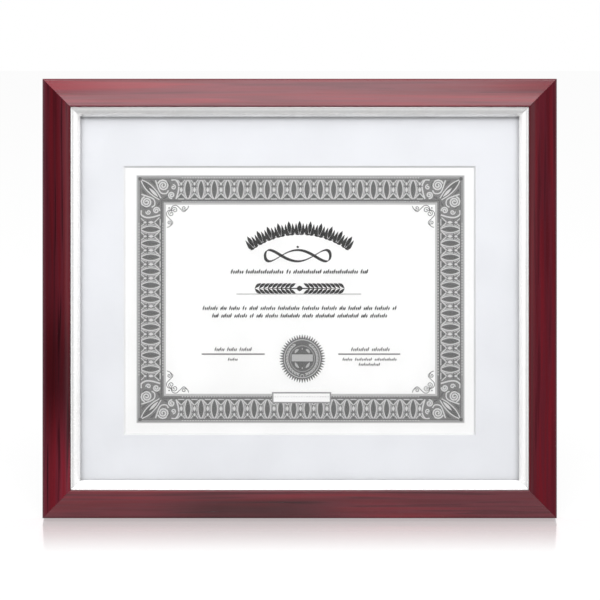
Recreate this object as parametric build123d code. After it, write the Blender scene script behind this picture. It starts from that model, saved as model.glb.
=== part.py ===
# Certificate frame, in millimetres: a mitred wood moulding with a silvered liner inside it, a glass,
# a mat with a bevelled window, a printed sheet, and a backing board with a riveted easel leg.
#
# X runs across the frame, +Z is up and the front faces -Y. Every piece is made with the frame
# upright, its back plane on Y = 0 and its lower edge on Z = 0. The whole then leans back on the
# easel leg, and the origin goes to the middle of the floor under it.
from build123d import *
import os
from math import asin, cos, radians, sin, tan

# The printed sheet, a letter page, and what lies in front of it and behind it
SHEET_WIDTH = 279.4
SHEET_HEIGHT = 215.9
SHEET_THICKNESS = 0.3
SHEET_COVER = 6.35  # how far the mat reaches over each edge of the sheet
MAT_SIDE_BORDER = 38.1
MAT_TOP_BORDER = 41.3
MAT_THICKNESS = 1.4
MAT_BEVEL_ANGLE = 45
GLASS_THICKNESS = 2.0
FILLER_THICKNESS = 3.0
BOARD_THICKNESS = 3.0
PACK_CLEARANCE = 1.5  # glass, mat and filler to the liner, all round
BOARD_CLEARANCE = 1.0  # backing board to the wood, all round

# The wood moulding: width is in the plane of the frame, depth runs from its back to its front
RAIL_WIDTH = 22.0
RAIL_DEPTH = 20.0
RAIL_EDGE_DEPTH = 13.0
RAIL_LIP_WIDTH = 6.0
RAIL_LIP_THICKNESS = 4.5
CROWN_RISE = 1.0
EDGE_ROUND = 3.0
NOSE_ROUND = 1.4

# The silvered liner that shows inside the wood
LINER_SHOW = 7.0
LINER_COVER = 4.0  # how far the liner reaches over each edge of the mat
LINER_STEP = 1.5  # how far its ridge lies behind the crest of the wood
LINER_RIDGE = 0.8
LINER_LIP_THICKNESS = 2.6
LINER_SCOOP = 0.8
LINER_GAP = 0.2

# Corner nails, pressed into the back across each mitre
VNAIL_COUNT = 2
VNAIL_FIRST = 4.5
VNAIL_PITCH = 5.0
VNAIL_LEG = 5.0
VNAIL_METAL = 0.5
VNAIL_DEPTH = 8.0

# Turn buttons and the screws that they turn on
BUTTON_SPACING = 240.0  # between the two on the top or the bottom rail; a side rail has one
BUTTON_REACH = 18.0
BUTTON_PIVOT_RADIUS = 5.5
BUTTON_TIP_RADIUS = 4.0
BUTTON_METAL = 1.0
BUTTON_GAP = 0.15
BUTTON_PLAY = 0.1
BUTTON_RIB_HEIGHT = 0.5
BUTTON_RIB_WIDTH = 3.0
BUTTON_RIB_LENGTH = 12.0
SCREW_RADIUS = 1.5
SCREW_CLEARANCE = 0.08
SCREW_LENGTH = 11.0
SCREW_HEAD_RADIUS = 3.4
SCREW_HEAD_HEIGHT = 1.8
SCREW_CROSS_LENGTH = 3.8
SCREW_CROSS_WIDTH = 0.8
SCREW_CROSS_DEPTH = 1.1

# Sawtooth hanger and its nails
HANGER_LENGTH = 46.0
HANGER_HEIGHT = 9.0
HANGER_METAL = 0.8
HANGER_FLANGE = 7.0
HANGER_RAMP = 3.0
HANGER_RISE = 2.2
HANGER_TOOTH_PITCH = 3.6
HANGER_TOOTH_DEPTH = 1.8
HANGER_TOOTH_COUNT = 7
NAIL_RADIUS = 0.8
NAIL_LENGTH = 9.0
NAIL_HEAD_RADIUS = 1.9
NAIL_HEAD_THICKNESS = 0.6

# Easel leg and its hinge
LEAN_ANGLE = 12.0
LEG_OPENING_ANGLE = 23.0
HINGE_HEIGHT = 215.0
PIN_RADIUS = 1.5
PIN_CLEARANCE = 0.06
PIN_HEAD_RADIUS = 2.2
PIN_HEAD_LENGTH = 0.8
LEAF_METAL = 0.9
LEAF_CORNER = 4.0
LEAF_RAMP = 2.0
KNUCKLE_COUNT = 5
KNUCKLE_LENGTH = 6.6
KNUCKLE_GAP = 0.3
KNUCKLE_AIR = 0.28  # between a knuckle and the backing board
BOARD_LEAF_LENGTH = 25.0
LEG_LEAF_LENGTH = 34.0
LEAF_RIVET_INSET = 8.0
LEAF_RIVET_SPACING = 20.0
RIVET_RADIUS = 1.6
RIVET_HEAD_RADIUS = 3.2
RIVET_HEAD_HEIGHT = 1.1
LEG_THICKNESS = 3.0
LEG_SPACE = 1.3  # between the folded leg and the backing board, for the ribbon
LEG_AIR = 0.6  # between the top of the leg and the knuckles
LEG_TOP_WIDTH = 46.0
LEG_FOOT_WIDTH = 92.0
LEG_TOP_CORNER = 5.0
LEG_FOOT_CORNER = 9.0
FOOT_ARCH_WIDTH = 36.0
FOOT_ARCH_RISE = 5.0

# Ribbon that stops the leg from opening further
RIBBON_REACH = 120.0  # down from the hinge pin, along the board and along the leg
RIBBON_WIDTH = 10.0
RIBBON_THICKNESS = 0.4
RIBBON_FLAP = 12.0
RIBBON_SEAT = 0.05
STAPLE_WIDTH = 7.0
STAPLE_LEG = 2.8
STAPLE_WIRE_WIDTH = 0.9
STAPLE_WIRE_THICKNESS = 0.5

OVERRUN = 5.0  # how far a cutting tool runs past the face that it cuts

# Sizes and levels that follow from those above
WINDOW_WIDTH = SHEET_WIDTH - 2 * SHEET_COVER
WINDOW_HEIGHT = SHEET_HEIGHT - 2 * SHEET_COVER
MAT_WIDTH = WINDOW_WIDTH + 2 * MAT_SIDE_BORDER
MAT_HEIGHT = WINDOW_HEIGHT + 2 * MAT_TOP_BORDER
LINER_SIGHT = RAIL_WIDTH + LINER_SHOW
LINER_RABBET = LINER_SIGHT - LINER_COVER - PACK_CLEARANCE
FRAME_WIDTH = MAT_WIDTH + 2 * (LINER_SIGHT - LINER_COVER)
FRAME_HEIGHT = MAT_HEIGHT + 2 * (LINER_SIGHT - LINER_COVER)
RAIL_RABBET = RAIL_WIDTH - RAIL_LIP_WIDTH
RAIL_BACK_MIDDLE = RAIL_RABBET / 2
LINER_SEAT = RAIL_DEPTH - RAIL_LIP_THICKNESS
FILLER_FRONT = BOARD_THICKNESS + FILLER_THICKNESS
SHEET_FRONT = FILLER_FRONT + SHEET_THICKNESS
MAT_FRONT = SHEET_FRONT + MAT_THICKNESS
GLASS_FRONT = MAT_FRONT + GLASS_THICKNESS
PACK_MIDDLE = FRAME_HEIGHT / 2 - PACK_CLEARANCE  # the pack rests on the bottom of its rabbet
BOARD_MIDDLE = FRAME_HEIGHT / 2 - BOARD_CLEARANCE
KNUCKLE_RADIUS = PIN_RADIUS + PIN_CLEARANCE + LEAF_METAL
PIN_DEPTH = max(LEG_SPACE + LEG_THICKNESS + LEAF_METAL - KNUCKLE_RADIUS, KNUCKLE_RADIUS + KNUCKLE_AIR)
LEG_OUTER = PIN_DEPTH + KNUCKLE_RADIUS - LEAF_METAL
LEG_INNER = LEG_OUTER - LEG_THICKNESS
KNUCKLE_PITCH = KNUCKLE_LENGTH + KNUCKLE_GAP
LEAF_WIDTH = KNUCKLE_COUNT * KNUCKLE_LENGTH + (KNUCKLE_COUNT - 1) * KNUCKLE_GAP
LEG_LEAN_ANGLE = LEG_OPENING_ANGLE - LEAN_ANGLE
PIN_ABOVE_FLOOR = HINGE_HEIGHT * cos(radians(LEAN_ANGLE)) - PIN_DEPTH * sin(radians(LEAN_ANGLE))
LEG_REACH = (
    PIN_ABOVE_FLOOR + (LEG_OUTER - PIN_DEPTH) * sin(radians(LEG_LEAN_ANGLE))
) / cos(radians(LEG_LEAN_ANGLE))

# Where each side of the frame stands: there X runs along the side, and Z from its outer edge inwards
SIDES = {
    "top": Location((0, 0, FRAME_HEIGHT), (0, 180, 0)),
    "bottom": Location((0, 0, 0)),
    "left": Location((-FRAME_WIDTH / 2, 0, FRAME_HEIGHT / 2), (0, 90, 0)),
    "right": Location((FRAME_WIDTH / 2, 0, FRAME_HEIGHT / 2), (0, -90, 0)),
}
SIDE_LENGTHS = {"top": FRAME_WIDTH, "bottom": FRAME_WIDTH, "left": FRAME_HEIGHT, "right": FRAME_HEIGHT}
BUTTON_SPREADS = {
    "top": [-BUTTON_SPACING / 2, BUTTON_SPACING / 2],
    "bottom": [-BUTTON_SPACING / 2, BUTTON_SPACING / 2],
    "left": [0],
    "right": [0],
}
BUTTON_PLACES = [
    SIDES[side] * Pos(along, 0, RAIL_BACK_MIDDLE)
    for side, spread in BUTTON_SPREADS.items()
    for along in spread
]
HANGER_PLACE = SIDES["top"] * Pos(0, 0, RAIL_BACK_MIDDLE)
OPEN_LEG = Pos(0, PIN_DEPTH, HINGE_HEIGHT) * Rot(X=LEG_OPENING_ANGLE) * Pos(0, -PIN_DEPTH, -HINGE_HEIGHT)
LEAN_BACK = Rot(X=-LEAN_ANGLE)


def plate(outline, start, thickness):
    """A flat plate whose outline is given in X and Z, from start to start + thickness along +Y."""
    return extrude(Plane.XZ.offset(-start) * outline, amount=-thickness)


def mitred(section, side):
    """A bar with the section, given in Y and Z, cut at both ends on the frame's 45 degree mitres."""
    half = SIDE_LENGTHS[side] / 2
    bar = extrude(section, half, both=True)
    mitres = Polygon(
        (-half, 0),
        (half, 0),
        (half - LINER_SIGHT, LINER_SIGHT),
        (LINER_SIGHT - half, LINER_SIGHT),
    )
    return bar & plate(mitres, -RAIL_DEPTH - OVERRUN, RAIL_DEPTH + 2 * OVERRUN)


def rail_section():
    """The wood: crowned face that falls back to a lower outer edge, sight edge with a round nose, rabbet."""
    edge = (-RAIL_EDGE_DEPTH, 0)
    crest = (-RAIL_DEPTH, RAIL_WIDTH)
    walls = Polyline(
        crest,
        (-LINER_SEAT, RAIL_WIDTH),
        (-LINER_SEAT, RAIL_RABBET),
        (0, RAIL_RABBET),
        (0, 0),
        edge,
    )
    section = make_face(SagittaArc(edge, crest, CROWN_RISE).edges() + walls.edges())
    section = fillet(section.vertices().sort_by_distance(edge)[0], EDGE_ROUND)
    section = fillet(section.vertices().sort_by_distance(crest)[0], NOSE_ROUND)
    return Plane.YZ * section


def liner_section():
    """The liner: a flange under the wood's lip, a narrow ridge, a scooped slope and the pack's rabbet."""
    outer = RAIL_RABBET + LINER_GAP
    ridge_start = RAIL_WIDTH + LINER_GAP
    ridge_level = RAIL_DEPTH - LINER_STEP
    ridge_end = (-ridge_level, ridge_start + LINER_RIDGE)
    lip_edge = (-GLASS_FRONT - LINER_LIP_THICKNESS, LINER_SIGHT)
    walls = Polyline(
        lip_edge,
        (-GLASS_FRONT, LINER_SIGHT),
        (-GLASS_FRONT, LINER_RABBET),
        (-BOARD_THICKNESS, LINER_RABBET),
        (-BOARD_THICKNESS, outer),
        (-LINER_SEAT, outer),
        (-LINER_SEAT, ridge_start),
        (-ridge_level, ridge_start),
        ridge_end,
    )
    scoop = SagittaArc(ridge_end, lip_edge, -LINER_SCOOP)
    return Plane.YZ * make_face(scoop.edges() + walls.edges())


def corner_nails():
    """The V nails: at each corner of the back, two angles with a leg in either rail."""
    nails = []
    for across in (-1, 1):
        for up in (-1, 1):
            corner = Pos(across * FRAME_WIDTH / 2, 0, (1 + up) * FRAME_HEIGHT / 2)
            for number in range(VNAIL_COUNT):
                inset = VNAIL_FIRST + number * VNAIL_PITCH
                lying = Box(VNAIL_LEG, VNAIL_DEPTH, VNAIL_METAL)
                standing = Box(VNAIL_METAL, VNAIL_DEPTH, VNAIL_LEG)
                lying = Pos(inset + VNAIL_LEG / 2, 0, inset + VNAIL_METAL / 2) * lying
                standing = Pos(inset + VNAIL_METAL / 2, 0, inset + VNAIL_LEG / 2) * standing
                angle = Pos(0, -VNAIL_DEPTH / 2, 0) * (lying + standing)
                if across > 0:
                    angle = mirror(angle, about=Plane.YZ)
                if up > 0:
                    angle = mirror(angle, about=Plane.XY)
                nails.append(corner * angle)
    return nails


def button_screw():
    """A pan-head cross-recess screw on its axis along Y, its head clear of the turn button by the play."""
    seat = BUTTON_GAP + BUTTON_METAL + BUTTON_PLAY
    head = plate(Circle(SCREW_HEAD_RADIUS), seat, SCREW_HEAD_HEIGHT)
    slot = Rectangle(SCREW_CROSS_LENGTH, SCREW_CROSS_WIDTH)
    cross = slot + Rot(Z=90) * slot
    recess = plate(cross, seat + SCREW_HEAD_HEIGHT - SCREW_CROSS_DEPTH, SCREW_CROSS_DEPTH + OVERRUN)
    shank = plate(Circle(SCREW_RADIUS), seat - SCREW_LENGTH, SCREW_LENGTH)
    return head + shank - recess


def button_outline():
    """Two round ends, the larger one on the pivot, joined by the lines that touch both."""
    taper = asin((BUTTON_PIVOT_RADIUS - BUTTON_TIP_RADIUS) / BUTTON_REACH)
    pivot_side, pivot_rise = BUTTON_PIVOT_RADIUS * cos(taper), BUTTON_PIVOT_RADIUS * sin(taper)
    tip_side, tip_rise = BUTTON_TIP_RADIUS * cos(taper), BUTTON_TIP_RADIUS * sin(taper)
    pivot_left, pivot_right = (-pivot_side, pivot_rise), (pivot_side, pivot_rise)
    tip_left, tip_right = (-tip_side, BUTTON_REACH + tip_rise), (tip_side, BUTTON_REACH + tip_rise)
    return make_face(
        [
            ThreePointArc(pivot_left, (0, -BUTTON_PIVOT_RADIUS), pivot_right),
            Line(pivot_right, tip_right),
            ThreePointArc(tip_right, (0, BUTTON_REACH + BUTTON_TIP_RADIUS), tip_left),
            Line(tip_left, pivot_left),
        ]
    )


def turn_button():
    """A stamped turn button, with a pointed stiffening rib raised on its back."""
    half_width, half_length = BUTTON_RIB_WIDTH / 2, BUTTON_RIB_LENGTH / 2
    rib = Polygon(
        (0, -half_length),
        (half_width, half_width - half_length),
        (half_width, half_length - half_width),
        (0, half_length),
        (-half_width, half_length - half_width),
        (-half_width, half_width - half_length),
    )
    rib_middle = (BUTTON_PIVOT_RADIUS + BUTTON_REACH + BUTTON_TIP_RADIUS) / 2
    blade = plate(button_outline(), BUTTON_GAP, BUTTON_METAL)
    raised = plate(Pos(0, rib_middle) * rib, BUTTON_GAP + BUTTON_METAL, BUTTON_RIB_HEIGHT)
    hole = plate(Circle(SCREW_RADIUS + SCREW_CLEARANCE), -OVERRUN, 2 * OVERRUN)
    return blade + raised - hole


def hanger_nail():
    """A flat-headed nail on its axis along Y, its head on the hanger's flange."""
    shank = plate(Circle(NAIL_RADIUS), HANGER_METAL - NAIL_LENGTH, NAIL_LENGTH)
    return shank + plate(Circle(NAIL_HEAD_RADIUS), HANGER_METAL, NAIL_HEAD_THICKNESS)


def sawtooth_hanger():
    """A bridge of sheet steel with a row of V teeth along the edge that the wall's nail bears on."""
    flange_end = HANGER_LENGTH / 2 - HANGER_FLANGE
    bridge_end = flange_end - HANGER_RAMP
    inner = [
        (-HANGER_LENGTH / 2, 0),
        (-flange_end, 0),
        (-bridge_end, HANGER_RISE),
        (bridge_end, HANGER_RISE),
        (flange_end, 0),
        (HANGER_LENGTH / 2, 0),
    ]
    outer = [(along, out + HANGER_METAL) for along, out in reversed(inner)]
    bridge = extrude(make_face(Polyline(*inner, *outer, close=True)), HANGER_HEIGHT / 2, both=True)
    notch = Polygon(
        (-HANGER_TOOTH_PITCH / 2, HANGER_HEIGHT / 2 + OVERRUN),
        (-HANGER_TOOTH_PITCH / 2, HANGER_HEIGHT / 2),
        (0, HANGER_HEIGHT / 2 - HANGER_TOOTH_DEPTH),
        (HANGER_TOOTH_PITCH / 2, HANGER_HEIGHT / 2),
        (HANGER_TOOTH_PITCH / 2, HANGER_HEIGHT / 2 + OVERRUN),
    )
    notches = [
        plate(
            Pos((number - (HANGER_TOOTH_COUNT - 1) / 2) * HANGER_TOOTH_PITCH, 0) * notch,
            -OVERRUN,
            HANGER_RISE + HANGER_METAL + 2 * OVERRUN,
        )
        for number in range(HANGER_TOOTH_COUNT)
    ]
    return bridge - notches


def hanger_nails():
    """The two nails, one through the middle of each flange."""
    offset = (HANGER_LENGTH - HANGER_FLANGE) / 2
    return [HANGER_PLACE * Pos(along, 0, 0) * hanger_nail() for along in (-offset, offset)]


def knuckle_middles(first):
    """X of every second knuckle, counted from the first or from the second."""
    return [
        (number - (KNUCKLE_COUNT - 1) / 2) * KNUCKLE_PITCH for number in range(first, KNUCKLE_COUNT, 2)
    ]


def along_pin(radius, length, middle=0):
    """A round bar along X with the hinge pin for its axis."""
    bar = extrude(Plane.YZ * Circle(radius), length / 2, both=True)
    return Pos(middle, PIN_DEPTH, HINGE_HEIGHT) * bar


def hinge_leaf(sheet_outline, own_first, other_first, bore_radius):
    """A leaf: sheet outlined in Y and Z, notched for the other leaf's knuckles, its own rolled on."""
    leaf = extrude(Plane.YZ * make_face(Polyline(*sheet_outline, close=True)), LEAF_WIDTH / 2, both=True)
    free_end = max(leaf.edges().filter_by(Axis.Y), key=lambda edge: abs(edge.center().Z - HINGE_HEIGHT))
    free_corners = [
        edge
        for edge in leaf.edges().filter_by(Axis.Y)
        if abs(edge.center().Z - free_end.center().Z) < LEAF_METAL
    ]
    leaf = fillet(free_corners, LEAF_CORNER)
    notch_length = KNUCKLE_LENGTH + 2 * KNUCKLE_GAP
    notch_radius = KNUCKLE_RADIUS + KNUCKLE_GAP
    leaf -= [along_pin(notch_radius, notch_length, middle) for middle in knuckle_middles(other_first)]
    leaf += [along_pin(KNUCKLE_RADIUS, KNUCKLE_LENGTH, middle) for middle in knuckle_middles(own_first)]
    return leaf - along_pin(bore_radius, LEAF_WIDTH + OVERRUN)


def board_leaf():
    """The leaf on the board, joggled out to meet its knuckles."""
    near = PIN_DEPTH - KNUCKLE_RADIUS
    ramp_foot = HINGE_HEIGHT + KNUCKLE_RADIUS + KNUCKLE_GAP
    ramp_top = ramp_foot + LEAF_RAMP
    top = HINGE_HEIGHT + BOARD_LEAF_LENGTH
    outline = [
        (0, top),
        (LEAF_METAL, top),
        (LEAF_METAL, ramp_top),
        (near + LEAF_METAL, ramp_foot),
        (near + LEAF_METAL, HINGE_HEIGHT),
        (near, HINGE_HEIGHT),
        (near, ramp_foot),
        (0, ramp_top),
    ]
    return hinge_leaf(outline, 0, 1, PIN_RADIUS)


def leg_leaf():
    """The leaf on the leg's outer face, with the leg folded against the board."""
    outline = [
        (LEG_OUTER, HINGE_HEIGHT),
        (LEG_OUTER + LEAF_METAL, HINGE_HEIGHT),
        (LEG_OUTER + LEAF_METAL, HINGE_HEIGHT - LEG_LEAF_LENGTH),
        (LEG_OUTER, HINGE_HEIGHT - LEG_LEAF_LENGTH),
    ]
    return hinge_leaf(outline, 1, 0, PIN_RADIUS + PIN_CLEARANCE)


def hinge_pin():
    """The pin, with its two ends peened over the outer knuckles."""
    head_middle = (LEAF_WIDTH + PIN_HEAD_LENGTH) / 2
    heads = [along_pin(PIN_HEAD_RADIUS, PIN_HEAD_LENGTH, side * head_middle) for side in (-1, 1)]
    return along_pin(PIN_RADIUS, LEAF_WIDTH + PIN_HEAD_LENGTH) + heads


def leaf_rivets(height, seat, grip):
    """Two rivets side by side at a height, with heads on the seat and shanks as long as the grip."""
    rivet = plate(Circle(RIVET_HEAD_RADIUS), seat, RIVET_HEAD_HEIGHT)
    rivet += plate(Circle(RIVET_RADIUS), seat - grip, grip)
    return [Pos(side * LEAF_RIVET_SPACING / 2, 0, height) * rivet for side in (-1, 1)]


def easel_leg():
    """The leg folded against the board: a board that widens to its foot, with an arch between two toes."""
    top = HINGE_HEIGHT - KNUCKLE_RADIUS - LEG_AIR
    foot = HINGE_HEIGHT - LEG_REACH
    outline = Polygon(
        (-LEG_FOOT_WIDTH / 2, foot),
        (LEG_FOOT_WIDTH / 2, foot),
        (LEG_TOP_WIDTH / 2, top),
        (-LEG_TOP_WIDTH / 2, top),
    )
    by_height = outline.vertices().sort_by(Axis.Y)
    outline = fillet(by_height[:2], LEG_FOOT_CORNER)
    outline = fillet(outline.vertices().sort_by(Axis.Y)[-2:], LEG_TOP_CORNER)
    toe_left = (-FOOT_ARCH_WIDTH / 2, foot)
    toe_right = (FOOT_ARCH_WIDTH / 2, foot)
    arch = make_face([SagittaArc(toe_left, toe_right, FOOT_ARCH_RISE), Line(toe_right, toe_left)])
    return plate(outline - arch, LEG_INNER, LEG_THICKNESS)


def ribbon_staple():
    """A wire staple across a ribbon that lies on Y = 0, with its points in the board below."""
    seat = RIBBON_SEAT + RIBBON_THICKNESS
    crown = plate(Rectangle(STAPLE_WIDTH, STAPLE_WIRE_WIDTH), seat, STAPLE_WIRE_THICKNESS)
    point = plate(Rectangle(STAPLE_WIRE_THICKNESS, STAPLE_WIRE_WIDTH), seat - STAPLE_LEG, STAPLE_LEG)
    offset = (STAPLE_WIDTH - STAPLE_WIRE_THICKNESS) / 2
    return crown + [Pos(along, 0, 0) * point for along in (-offset, offset)]


def board_staple():
    """The staple that holds the ribbon to the backing board."""
    return Pos(0, 0, HINGE_HEIGHT - RIBBON_REACH - RIBBON_FLAP / 2) * ribbon_staple()


def leg_staple():
    """The staple that holds the ribbon to the leg's inner face, with the leg folded."""
    facing_board = mirror(ribbon_staple(), about=Plane.XZ)
    return Pos(0, LEG_INNER, HINGE_HEIGHT - RIBBON_REACH + RIBBON_FLAP / 2) * facing_board


def ribbon_band():
    """The ribbon, stretched from the board to the opened leg, with a flap stapled to each."""
    seat = RIBBON_SEAT + RIBBON_THICKNESS / 2
    lower = HINGE_HEIGHT - RIBBON_REACH
    leg_side = LEG_INNER - seat
    opened = [OPEN_LEG * Pos(0, leg_side, height) for height in (lower, lower + RIBBON_FLAP)]
    leg_points = [(spot.position.Y, spot.position.Z) for spot in opened]
    path = Polyline((seat, lower - RIBBON_FLAP), (seat, lower), *leg_points)
    return extrude(Plane.YZ * trace(path, RIBBON_THICKNESS), RIBBON_WIDTH / 2, both=True)


def frame_pieces():
    """Every piece that stays with the frame, upright, by name."""
    screws = [place * button_screw() for place in BUTTON_PLACES]
    nails = hanger_nails()
    vnails = corner_nails()
    pieces = {}
    for side, place in SIDES.items():
        rail = place * mitred(rail_section(), side)
        pieces[f"rail_{side}"] = rail - screws - nails - vnails
        pieces[f"liner_{side}"] = place * mitred(liner_section(), side)
    pieces["corner_v_nails"] = Part() + vnails
    pieces["turn_button_screws"] = Part() + screws
    pieces["hanger_nails"] = Part() + nails
    pieces["sawtooth_hanger"] = HANGER_PLACE * sawtooth_hanger() - nails

    pack = Pos(0, PACK_MIDDLE) * Rectangle(MAT_WIDTH, MAT_HEIGHT)
    bevel = MAT_THICKNESS * tan(radians(MAT_BEVEL_ANGLE))
    window = loft(
        [
            Plane.XZ.offset(SHEET_FRONT) * Pos(0, PACK_MIDDLE) * Rectangle(WINDOW_WIDTH, WINDOW_HEIGHT),
            Plane.XZ.offset(MAT_FRONT)
            * Pos(0, PACK_MIDDLE)
            * Rectangle(WINDOW_WIDTH + 2 * bevel, WINDOW_HEIGHT + 2 * bevel),
        ]
    )
    sheet = Pos(0, PACK_MIDDLE) * Rectangle(SHEET_WIDTH, SHEET_HEIGHT)
    board = Pos(0, BOARD_MIDDLE) * Rectangle(
        FRAME_WIDTH - 2 * (RAIL_RABBET + BOARD_CLEARANCE),
        FRAME_HEIGHT - 2 * (RAIL_RABBET + BOARD_CLEARANCE),
    )
    pieces["glass"] = plate(pack, -GLASS_FRONT, GLASS_THICKNESS)
    pieces["mat"] = plate(pack, -MAT_FRONT, MAT_THICKNESS) - window
    pieces["certificate"] = plate(sheet, -SHEET_FRONT, SHEET_THICKNESS)
    pieces["filler_board"] = plate(pack, -FILLER_FRONT, FILLER_THICKNESS)

    leaf_rivet_height = HINGE_HEIGHT + BOARD_LEAF_LENGTH - LEAF_RIVET_INSET
    board_rivets = leaf_rivets(leaf_rivet_height, LEAF_METAL, LEAF_METAL + BOARD_THICKNESS)
    staple = board_staple()
    pieces["backing_board"] = plate(board, -BOARD_THICKNESS, BOARD_THICKNESS) - board_rivets - staple
    pieces["hinge_leaf_board"] = board_leaf() - board_rivets
    pieces["hinge_rivets_board"] = Part() + board_rivets
    pieces["hinge_pin"] = hinge_pin()
    pieces["ribbon_staple_board"] = staple
    pieces["easel_ribbon"] = ribbon_band() - staple - OPEN_LEG * leg_staple()
    return pieces


def leg_pieces():
    """Every piece that turns with the easel leg, folded, by name."""
    rivet_height = HINGE_HEIGHT - LEG_LEAF_LENGTH + LEAF_RIVET_INSET
    rivets = leaf_rivets(rivet_height, LEG_OUTER + LEAF_METAL, LEAF_METAL + LEG_THICKNESS)
    return {
        "easel_leg": easel_leg() - rivets - leg_staple(),
        "hinge_leaf_leg": leg_leaf() - rivets,
        "hinge_rivets_leg": Part() + rivets,
        "ribbon_staple_leg": leg_staple(),
    }


def button_pieces():
    """The turn buttons, each at its own screw, by name."""
    return {
        f"turn_button_{number}": place * turn_button() for number, place in enumerate(BUTTON_PLACES, start=1)
    }


def assembly():
    """Every piece in its place on the floor, by name, and the shift that put the origin under the middle."""
    upright = {**frame_pieces(), **button_pieces()}
    upright.update({name: OPEN_LEG * piece for name, piece in leg_pieces().items()})
    leaning = {name: LEAN_BACK * piece for name, piece in upright.items()}
    floor = Pos(0, 0, -LEG_REACH / 2) * Box(FRAME_WIDTH, 2 * LEG_REACH, LEG_REACH)
    leaning["easel_leg"] = leaning["easel_leg"] - floor
    extents = [piece.bounding_box() for piece in leaning.values()]
    front = min(extent.min.Y for extent in extents)
    back = max(extent.max.Y for extent in extents)
    to_origin = Pos(0, -(front + back) / 2, 0)
    return {name: to_origin * piece for name, piece in leaning.items()}, to_origin


def main():
    os.makedirs("parts", exist_ok=True)
    pieces, _ = assembly()
    for name, piece in pieces.items():
        export_step(piece, f"parts/{name}.step")


if __name__ == "__main__":
    main()
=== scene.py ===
"""Looks for the certificate frame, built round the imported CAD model. Sizes are in millimetres unless said
otherwise, with the frame upright: X across, Y backwards from the back plane, Z up from the lower edge.
lean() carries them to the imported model's own metres, where the frame stands back on its easel leg."""

import bpy
import numpy as np
from math import cos, pi, radians, sin
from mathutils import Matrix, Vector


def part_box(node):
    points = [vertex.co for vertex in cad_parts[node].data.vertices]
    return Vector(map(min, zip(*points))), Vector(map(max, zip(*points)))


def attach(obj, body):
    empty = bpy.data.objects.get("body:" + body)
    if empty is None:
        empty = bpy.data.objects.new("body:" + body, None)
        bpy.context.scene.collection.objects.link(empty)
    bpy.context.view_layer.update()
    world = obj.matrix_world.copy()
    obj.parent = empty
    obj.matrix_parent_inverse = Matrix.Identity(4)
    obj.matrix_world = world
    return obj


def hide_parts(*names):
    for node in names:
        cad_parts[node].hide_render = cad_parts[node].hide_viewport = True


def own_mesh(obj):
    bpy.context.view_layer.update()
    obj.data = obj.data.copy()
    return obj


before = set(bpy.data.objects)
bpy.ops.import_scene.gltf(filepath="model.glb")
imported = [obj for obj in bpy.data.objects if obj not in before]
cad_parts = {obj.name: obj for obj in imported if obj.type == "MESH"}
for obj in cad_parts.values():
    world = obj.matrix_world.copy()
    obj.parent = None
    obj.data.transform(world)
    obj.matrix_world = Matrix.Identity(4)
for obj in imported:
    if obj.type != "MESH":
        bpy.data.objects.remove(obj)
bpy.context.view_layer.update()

bl_info = {
    "name": "Certificate Frame",
    "version": (1, 0, 0),
    "blender": (4, 5, 0),
    "location": "View3D > Sidebar > Certificate Frame",
    "description": "Dresses a desk frame with its mouldings, printed sheet, easel ribbon and finishes",
    "category": "Add Mesh",
}

# The frame and its mouldings, as in the CAD model
LEAN_ANGLE = 12.0
FRAME_WIDTH, FRAME_HEIGHT = 392.9, 335.8
RAIL_WIDTH, RAIL_DEPTH, RAIL_EDGE_DEPTH, RAIL_RABBET = 22.0, 20.0, 13.0, 16.0
WOOD_ROUNDS = [3.0, 0.9, 0, 0, 0.4, 0.4]
LINER_SEAT, LINER_OUTER, LINER_RABBET, LINER_SIGHT = 15.5, 16.2, 23.5, 29.0
LINER_RIDGE_START, LINER_RIDGE_END, LINER_RIDGE_LEVEL = 22.2, 23.0, 18.5
LINER_LIP_LEVEL = 12.3
SILVER_ROUNDS = [0.25, 0.45, 0.25, 0, 0, 0, 0, 0, 0.3]
BOARD_LEVEL, SHEET_LEVEL, GLASS_LEVEL = 3.0, 6.3, 9.7
GLASS_DRAWN_IN = 0.06
PACK_BOTTOM, PACK_MIDDLE = 23.5, 166.4
WINDOW_WIDTH, WINDOW_HEIGHT, MAT_BEVEL = 266.7, 203.2, 1.4
SIDES = ("top", "bottom", "left", "right")

# The leg's hinge and the fasteners: a head is its radius and height, a pair of rivets its level and height
# on the frame
LEG_OPENING, LEG_INNER, HINGE_HEIGHT, PIN_DEPTH = 23.0, 1.3, 215.0, 2.74
SCREW_SEAT, SCREW_HEAD, SCREW_RADIUS, SCREW_LENGTH = 1.25, (3.4, 1.8), 1.5, 11.0
CROSS_ARM, CROSS_HALF, CROSS_DEPTH = 1.9, 0.4, 1.1
SCREW_ACROSS, SCREW_LOW, SCREW_HIGH, SCREW_SIDE = 120.0, 8.0, 327.8, (188.45, 167.9)
SCREW_PLACES = [(SCREW_ACROSS, SCREW_HIGH), (-SCREW_ACROSS, SCREW_HIGH), (-SCREW_ACROSS, SCREW_LOW)]
SCREW_PLACES += [(SCREW_ACROSS, SCREW_LOW), (-SCREW_SIDE[0], SCREW_SIDE[1]), SCREW_SIDE]
SCREW_TURNS = [12, 47, -20, 71, 33, -8]
RIVET_HEAD, RIVET_RADIUS, RIVET_GRIP, RIVET_HALF_SPACING = (3.2, 1.1), 1.6, 3.9, 10.0
BOARD_RIVETS = (0.9, HINGE_HEIGHT + 17.0)
LEG_RIVETS = (LEG_INNER + RIVET_GRIP, HINGE_HEIGHT - 26.0)
NAIL_HEAD, NAIL_RADIUS, NAIL_SEAT, NAIL_LENGTH = (1.9, 0.6), 0.8, 0.8, 9.0
NAIL_PLACES = [(-19.5, 327.8), (19.5, 327.8)]
FASTENER_SHARP = 35
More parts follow.
